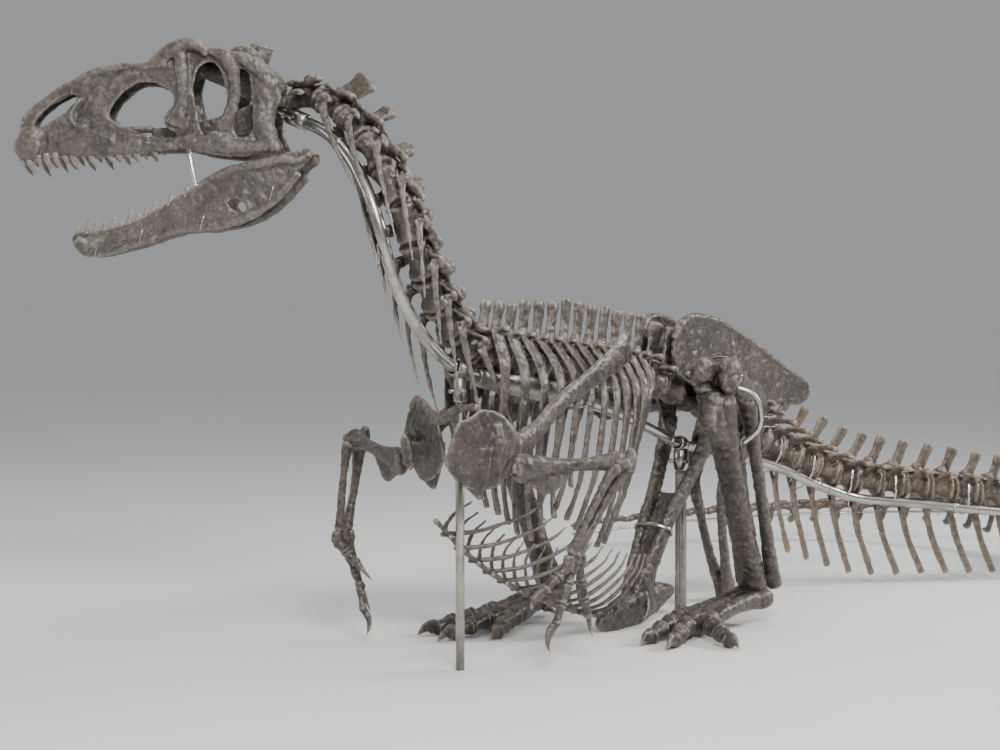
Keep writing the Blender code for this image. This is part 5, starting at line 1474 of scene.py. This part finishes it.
def hand_lumps(side):
    block = WRIST[side] - UP * 0.022
    lumps = []
    for k, size in enumerate((0.016, 0.019, 0.017)):
        core = block + Vector((-0.026 + 0.026 * k, 0.0, 0.004 * (k == 1)))
        lumps.append(round_bar([core + UP * 0.01, core - UP * 0.01], [size * 0.86, size], UP, 14, 4))
    for k, (tip, (radius, bones, claw)) in enumerate(zip(FINGER_TIPS[side], FINGERS)):
        root = block + Vector((-0.024 + 0.024 * k, 0.0, -0.012))
        away = Vector((-0.55 if k < 2 else 0.35, -0.45 * side, 0.15)).normalized()
        lumps += digit(root, tip, radius, bones, 0.006, claw, away, CROSSWISE)
    return lumps


for side, word in SIDES:
    bone("humerus_bone_" + word, humerus_lumps(side), 0.0028, ["humerus_" + word], rugged=0.9)
    bone("ulna_bone_" + word, forearm_lumps(side, True), 0.0026, ["ulna_" + word], rugged=0.8)
    bone("radius_bone_" + word, forearm_lumps(side, False), 0.0026, ["radius_" + word], rugged=0.8)
    bone("hand_bone_" + word, hand_lumps(side), 0.0021, ["hand_" + word], rugged=0.6)
print("hand faces", COUNTS["hand_bone_left"])

# %% [markdown]
# ## Belly ribs
#
# Thin belly ribs lie in the skin below the trunk as a row of open Vs. Their inner ends overlap
# in a keel. They touch nothing above, so on the mount they hang on wire.

# %% Belly ribs
KEEL = [
    (-1.215, 0.038, 0.372), (-1.1, 0.02, 0.275), (-0.95, 0.0, 0.185), (-0.78, 0.0, 0.12),
    (-0.62, 0.0, 0.07), (-0.5, 0.0, 0.045)]
KEEL_COUNT = 14


def belly_lumps():
    places = curve_points(KEEL, KEEL_COUNT)
    lumps = [bar(
        [p for p, _ in places],
        [(0.0075 + 0.0015 * math.sin(5.0 * i), 0.0065) for i in range(KEEL_COUNT)], UP, 12, 5)]
    for i, (p, along) in enumerate(places[1:-1]):
        t = i / (KEEL_COUNT - 3)
        wide = 0.05 + 0.085 * math.sin(math.pi * (0.2 + 0.62 * t))
        rise = 0.05 + 0.095 * t
        sweep = 0.24 - 0.12 * t
        for s in (1, -1):
            across = p - Vector((0.012, s * 0.012, 0.0)) + along * 0.004 * s
            points = [
                across, p + Vector((sweep * 0.25, s * wide * 0.55, rise * 0.2)),
                p + Vector((sweep * 0.7, s * wide, rise * 0.72)),
                p + Vector((sweep, s * wide * 1.04, rise * 1.1))]
            lumps.append(round_bar(points, [0.0062, 0.0058, 0.0046, 0.0028], UP, 12, 6))
    return lumps


bone("belly_ribs", belly_lumps(), 0.0021, ["gastralia"], rugged=0.6)
print("belly faces", COUNTS["belly_ribs"])

# %% [markdown]
# ## Steel mount
#
# One bent tube runs from the head to the middle of the tail. It is a swept circle, with weld rings
# where lengths meet and a wide sleeve at the neck's base. Two posts carry it, and the rear one is
# ribbed lengthwise. A thin rod props the jaw, and another goes on below the far tail. Straps and
# wire loops tie the bones on.

# %% Tube, sleeve and posts
TUBE_RADIUS = 0.015
TUBE_PATH = [
    (-1.398, 0.372, 1.372), (-1.4, 0.302, 1.346), (-1.412, 0.215, 1.312), (-1.432, 0.14, 1.262),
    (-1.452, 0.078, 1.2), (-1.458, 0.036, 1.128), (-1.45, 0.016, 1.056), (-1.42, 0.012, 0.975),
    (-1.368, 0.01, 0.895), (-1.285, 0.008, 0.812), (-1.165, 0.0, 0.738), (-1.0, 0.0, 0.706),
    (-0.8, 0.0, 0.68), (-0.55, 0.0, 0.628), (-0.3, 0.0, 0.56), (-0.07, 0.0, 0.49), (0.16, -0.03, 0.445),
    (0.3, -0.052, 0.418), (0.435, -0.082, 0.38), (0.568, -0.128, 0.326), (0.694, -0.202, 0.28),
    (0.813, -0.305, 0.262), (0.912, -0.41, 0.247), (1.004, -0.507, 0.232), (1.135, -0.616, 0.216),
    (1.295, -0.686, 0.198), (1.48, -0.69, 0.176)]
TUBE_STEPS = 190
TUBE_UP = (0.2, 1.0, 0.3)
HOOP_SIDES = 28
POST_FRONT = (FRONT_POST_X, 0.0, 0.738, 0.011)
POST_REAR = (-0.07, 0.0, 0.49, 0.017)


def steel_piece(name, lumps, finish=STEEL, nodes=()):
    smooth_piece(name, lumps, finish, nodes)


def hoop(centre, axis, wide, tall, band, thick, turns=1):
    """A band or wire wound round an axis: wide and tall are its radii, band and thick its section."""
    centre, axis = Vector(centre), Vector(axis).normalized()
    side = axis.cross(UP).normalized() if abs(axis.z) < 0.9 else CROSSWISE
    rise = side.cross(axis)
    count = HOOP_SIDES * turns
    points = []
    for k in range(count + 1):
        angle = 2 * math.pi * k / HOOP_SIDES
        advance = axis * (k / count - 0.5) * band * 2.0 * (turns - 1)
        points.append(
            centre + side * wide * math.cos(angle) + rise * tall * math.sin(angle) + advance)
    return [bar(points, [(thick, band)] * len(points), axis, 8, 1, 0.2)]


tube_places = curve_points(TUBE_PATH, TUBE_STEPS)
lumps = [round_bar(
    [p for p, _ in tube_places], [TUBE_RADIUS] * TUBE_STEPS, TUBE_UP, 20, 1, 0.1)]
for share in (0.06, 0.27, 0.52, 0.71, 0.84):
    p, along = tube_places[int(share * (TUBE_STEPS - 1))]
    lumps.append(round_bar(
        [p - along * 0.01, p - along * 0.004, p + along * 0.004, p + along * 0.01],
        [TUBE_RADIUS, TUBE_RADIUS * 1.16, TUBE_RADIUS * 1.16, TUBE_RADIUS], TUBE_UP, 20, 3, 0.1))
p, along = tube_places[3]
lumps.append(round_bar([p - along * 0.03, p + along * 0.03], [0.021, 0.021], TUBE_UP, 20, 2, 0.1))
steel_piece("tube", lumps, STEEL, ["stand_tube"])
sleeve = [tube_places[k][0] for k in (50, 56, 62, 68, 74)]
steel_piece(
    "neck_sleeve",
    [bar(
        sleeve, [(0.0185, 0.024), (0.019, 0.03), (0.019, 0.033), (0.019, 0.03), (0.018, 0.022)],
        (0.7, 0.0, 0.7), 18, 4, 0.2)],
    STEEL)


def post_lump(place, ribs, depth):
    """An upright post with ribs shallow grooves; depth is a groove's share of the radius."""
    x, y, top, radius = place
    verts = []
    steps = max(24, ribs * 6)
    for z in (0.0, top):
        for k in range(steps):
            angle = 2 * math.pi * k / steps
            out = radius * (1.0 - depth * (0.5 - 0.5 * math.cos(ribs * angle)))
            verts.append((x + out * math.cos(angle), y + out * math.sin(angle), z))
    faces = [(k, (k + 1) % steps, steps + (k + 1) % steps, steps + k) for k in range(steps)]
    return verts, faces + [tuple(reversed(range(steps))), tuple(range(steps, 2 * steps))]


steel_piece("post_front", [post_lump(POST_FRONT, 0, 0.0)], STEEL, ["stand_post_front"])
steel_piece("post_rear", [post_lump(POST_REAR, 14, 0.16)], STEEL, ["stand_post_rear"])
print("tube and posts", COUNTS["tube"], COUNTS["post_front"], COUNTS["post_rear"])

# %% Jaw rod, saddles, straps and wires
rod = [
    head(0.246, breadth_at(0.246) - 0.01, 0.062), head(0.24, breadth_at(0.24) - 0.018, 0.03),
    head(0.236, breadth_at(0.236) - 0.022, 0.0), head(0.226, breadth_at(0.226) - 0.016, -0.045),
    head(0.214, breadth_at(0.214) - 0.006, -0.09)]
steel_piece(
    "jaw_rod", [round_bar(rod, [0.006] * 5, SKULL_LEFT, 12, 4)], BRIGHT_STEEL, ["stand_jaw_rod"])

saddles = []
for x, y, top, radius in (POST_FRONT, POST_REAR):
    nearest = min(tube_places, key=lambda q: (q[0] - Vector((x, y, top))).length)
    saddles += hoop(nearest[0], nearest[1], TUBE_RADIUS + 0.004, TUBE_RADIUS + 0.004, 0.02, 0.004)
    saddles.append(round_bar(
        [(x, y, top - 0.075), (x, y, top - 0.018)], [radius + 0.005] * 2, LENGTHWISE, 20, 2, 0.2))
    for turn in (-1, 1):
        out = Vector((-0.5, 0.86 * turn, 0.0))
        screw = Vector((x, y, top - 0.05)) + out * (radius + 0.004)
        saddles.append(round_bar([screw, screw + out * 0.012], [0.006, 0.006], UP, 6, 1, 0.2))
steel_piece("saddles", saddles, STEEL)

thigh = HIP[-1] + Vector((0.0, -0.06, 0.004)) - KNEE[-1]
straps = hoop(KNEE[-1] + thigh.normalized() * 0.074 + UP * 0.004, thigh, 0.058, 0.048, 0.008, 0.0018)
straps += hoop(
    SHIN_TOP[1].lerp(ANKLE[1], 0.6) + Vector((0.018, 0.018, 0.0)), ANKLE[1] - SHIN_TOP[1], 0.05, 0.04,
    0.004, 0.0018)
straps += hoop((-0.225, 0.0, 0.255), (-0.45, 0.0, -0.7), 0.06, 0.04, 0.005, 0.0015)
straps += hoop((-0.322, 0.0, 0.062), (1.0, 0.0, 0.05), 0.041, 0.058, 0.005, 0.0015)
straps.append(round_bar(
    [
        (-0.412, -0.352, 0.68), (-0.39, -0.398, 0.662), (-0.374, -0.414, 0.62), (-0.372, -0.408, 0.568),
        (-0.386, -0.372, 0.53)],
    [0.0065] * 5, UP, 12, 6))
steel_piece("straps", straps, BRIGHT_STEEL)

WIRED_NEAR = (1, 3, 5, 7, 9, 12, 15, 19)
WIRED_FAR = range(24, 45, 4)
wires = []
tail = stations(TAIL_AXIS, TAIL_COUNT)
for i in WIRED_NEAR:
    centre, along, _ = tail[i]
    radius = tail_radius(i)
    wires += hoop(centre - UP * 0.018, along, radius * 1.2, radius * 1.52, 0.0026, 0.0016, 2)
for x, z in ((0.239, 0.56), (0.239, 0.53)):
    wires += hoop((x, -hip_y(x), z), (0.0, 0.1, 1.0), 0.04, 0.036, 0.0018, 0.0014)
for x, z in ((0.462, -0.233), (0.352, -0.199), (0.2, -0.168), (0.03, -0.098)):
    wires += hoop(
        head(x, breadth_at(x) - jaw_inset(x), z), SKULL_FORWARD + UP * 0.3, 0.0135, 0.023, 0.0014,
        0.001)
far_rod = [Vector(p) - UP * 0.03 for p in TAIL_AXIS[10:]]
wires.append(round_bar(far_rod, [0.0045] * len(far_rod), UP, 10, 8))
for i in WIRED_FAR:
    centre, along, _ = tail[i]
    wires += hoop(centre - UP * 0.013, along, 0.022, 0.03, 0.0016, 0.0014)
for index, side in ((1, -1), (4, -1), (7, -1), (10, -1), (4, 1), (9, 1)):
    centre = trunk[index][0]
    wires.append(round_bar(
        [
            centre + Vector((0.0, side * 0.07, 0.01)), centre + Vector((0.02, side * 0.03, -0.03)),
            centre + Vector((0.03, 0.0, -0.06))],
        [0.0016] * 3, UP, 8, 4))
steel_piece("wires", wires, BRIGHT_STEEL)
print("straps and wires", COUNTS["straps"], COUNTS["wires"])

# %% [markdown]
# ## Floor and the finished box
#
# The floor belongs to the stage, not to the model. The last cell counts the finished model's pieces and
# faces. The finer bones may reach only a little past the imported solids.

# %% Floor, measurements and finish
FLOOR_SIZE = 300.0
FLOOR_GAP = 0.0005
floor_finish = Finish("floor", 0.55, 0.0)
floor_place = floor_finish.place()
floor_finish.colour(floor_finish.mix(
    floor_finish.noise(floor_place, 1.3), (0.66, 0.66, 0.65), (0.71, 0.71, 0.7)))
bpy.ops.mesh.primitive_plane_add(size=FLOOR_SIZE, location=(0.0, 0.0, -FLOOR_GAP))
floor = bpy.context.object
floor.name = "floor"
floor.data.materials.append(floor_finish.material)

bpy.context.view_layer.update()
print(
    "pieces", len(COUNTS), "faces", sum(COUNTS.values()), "largest", max(COUNTS, key=COUNTS.get),
    max(COUNTS.values()))
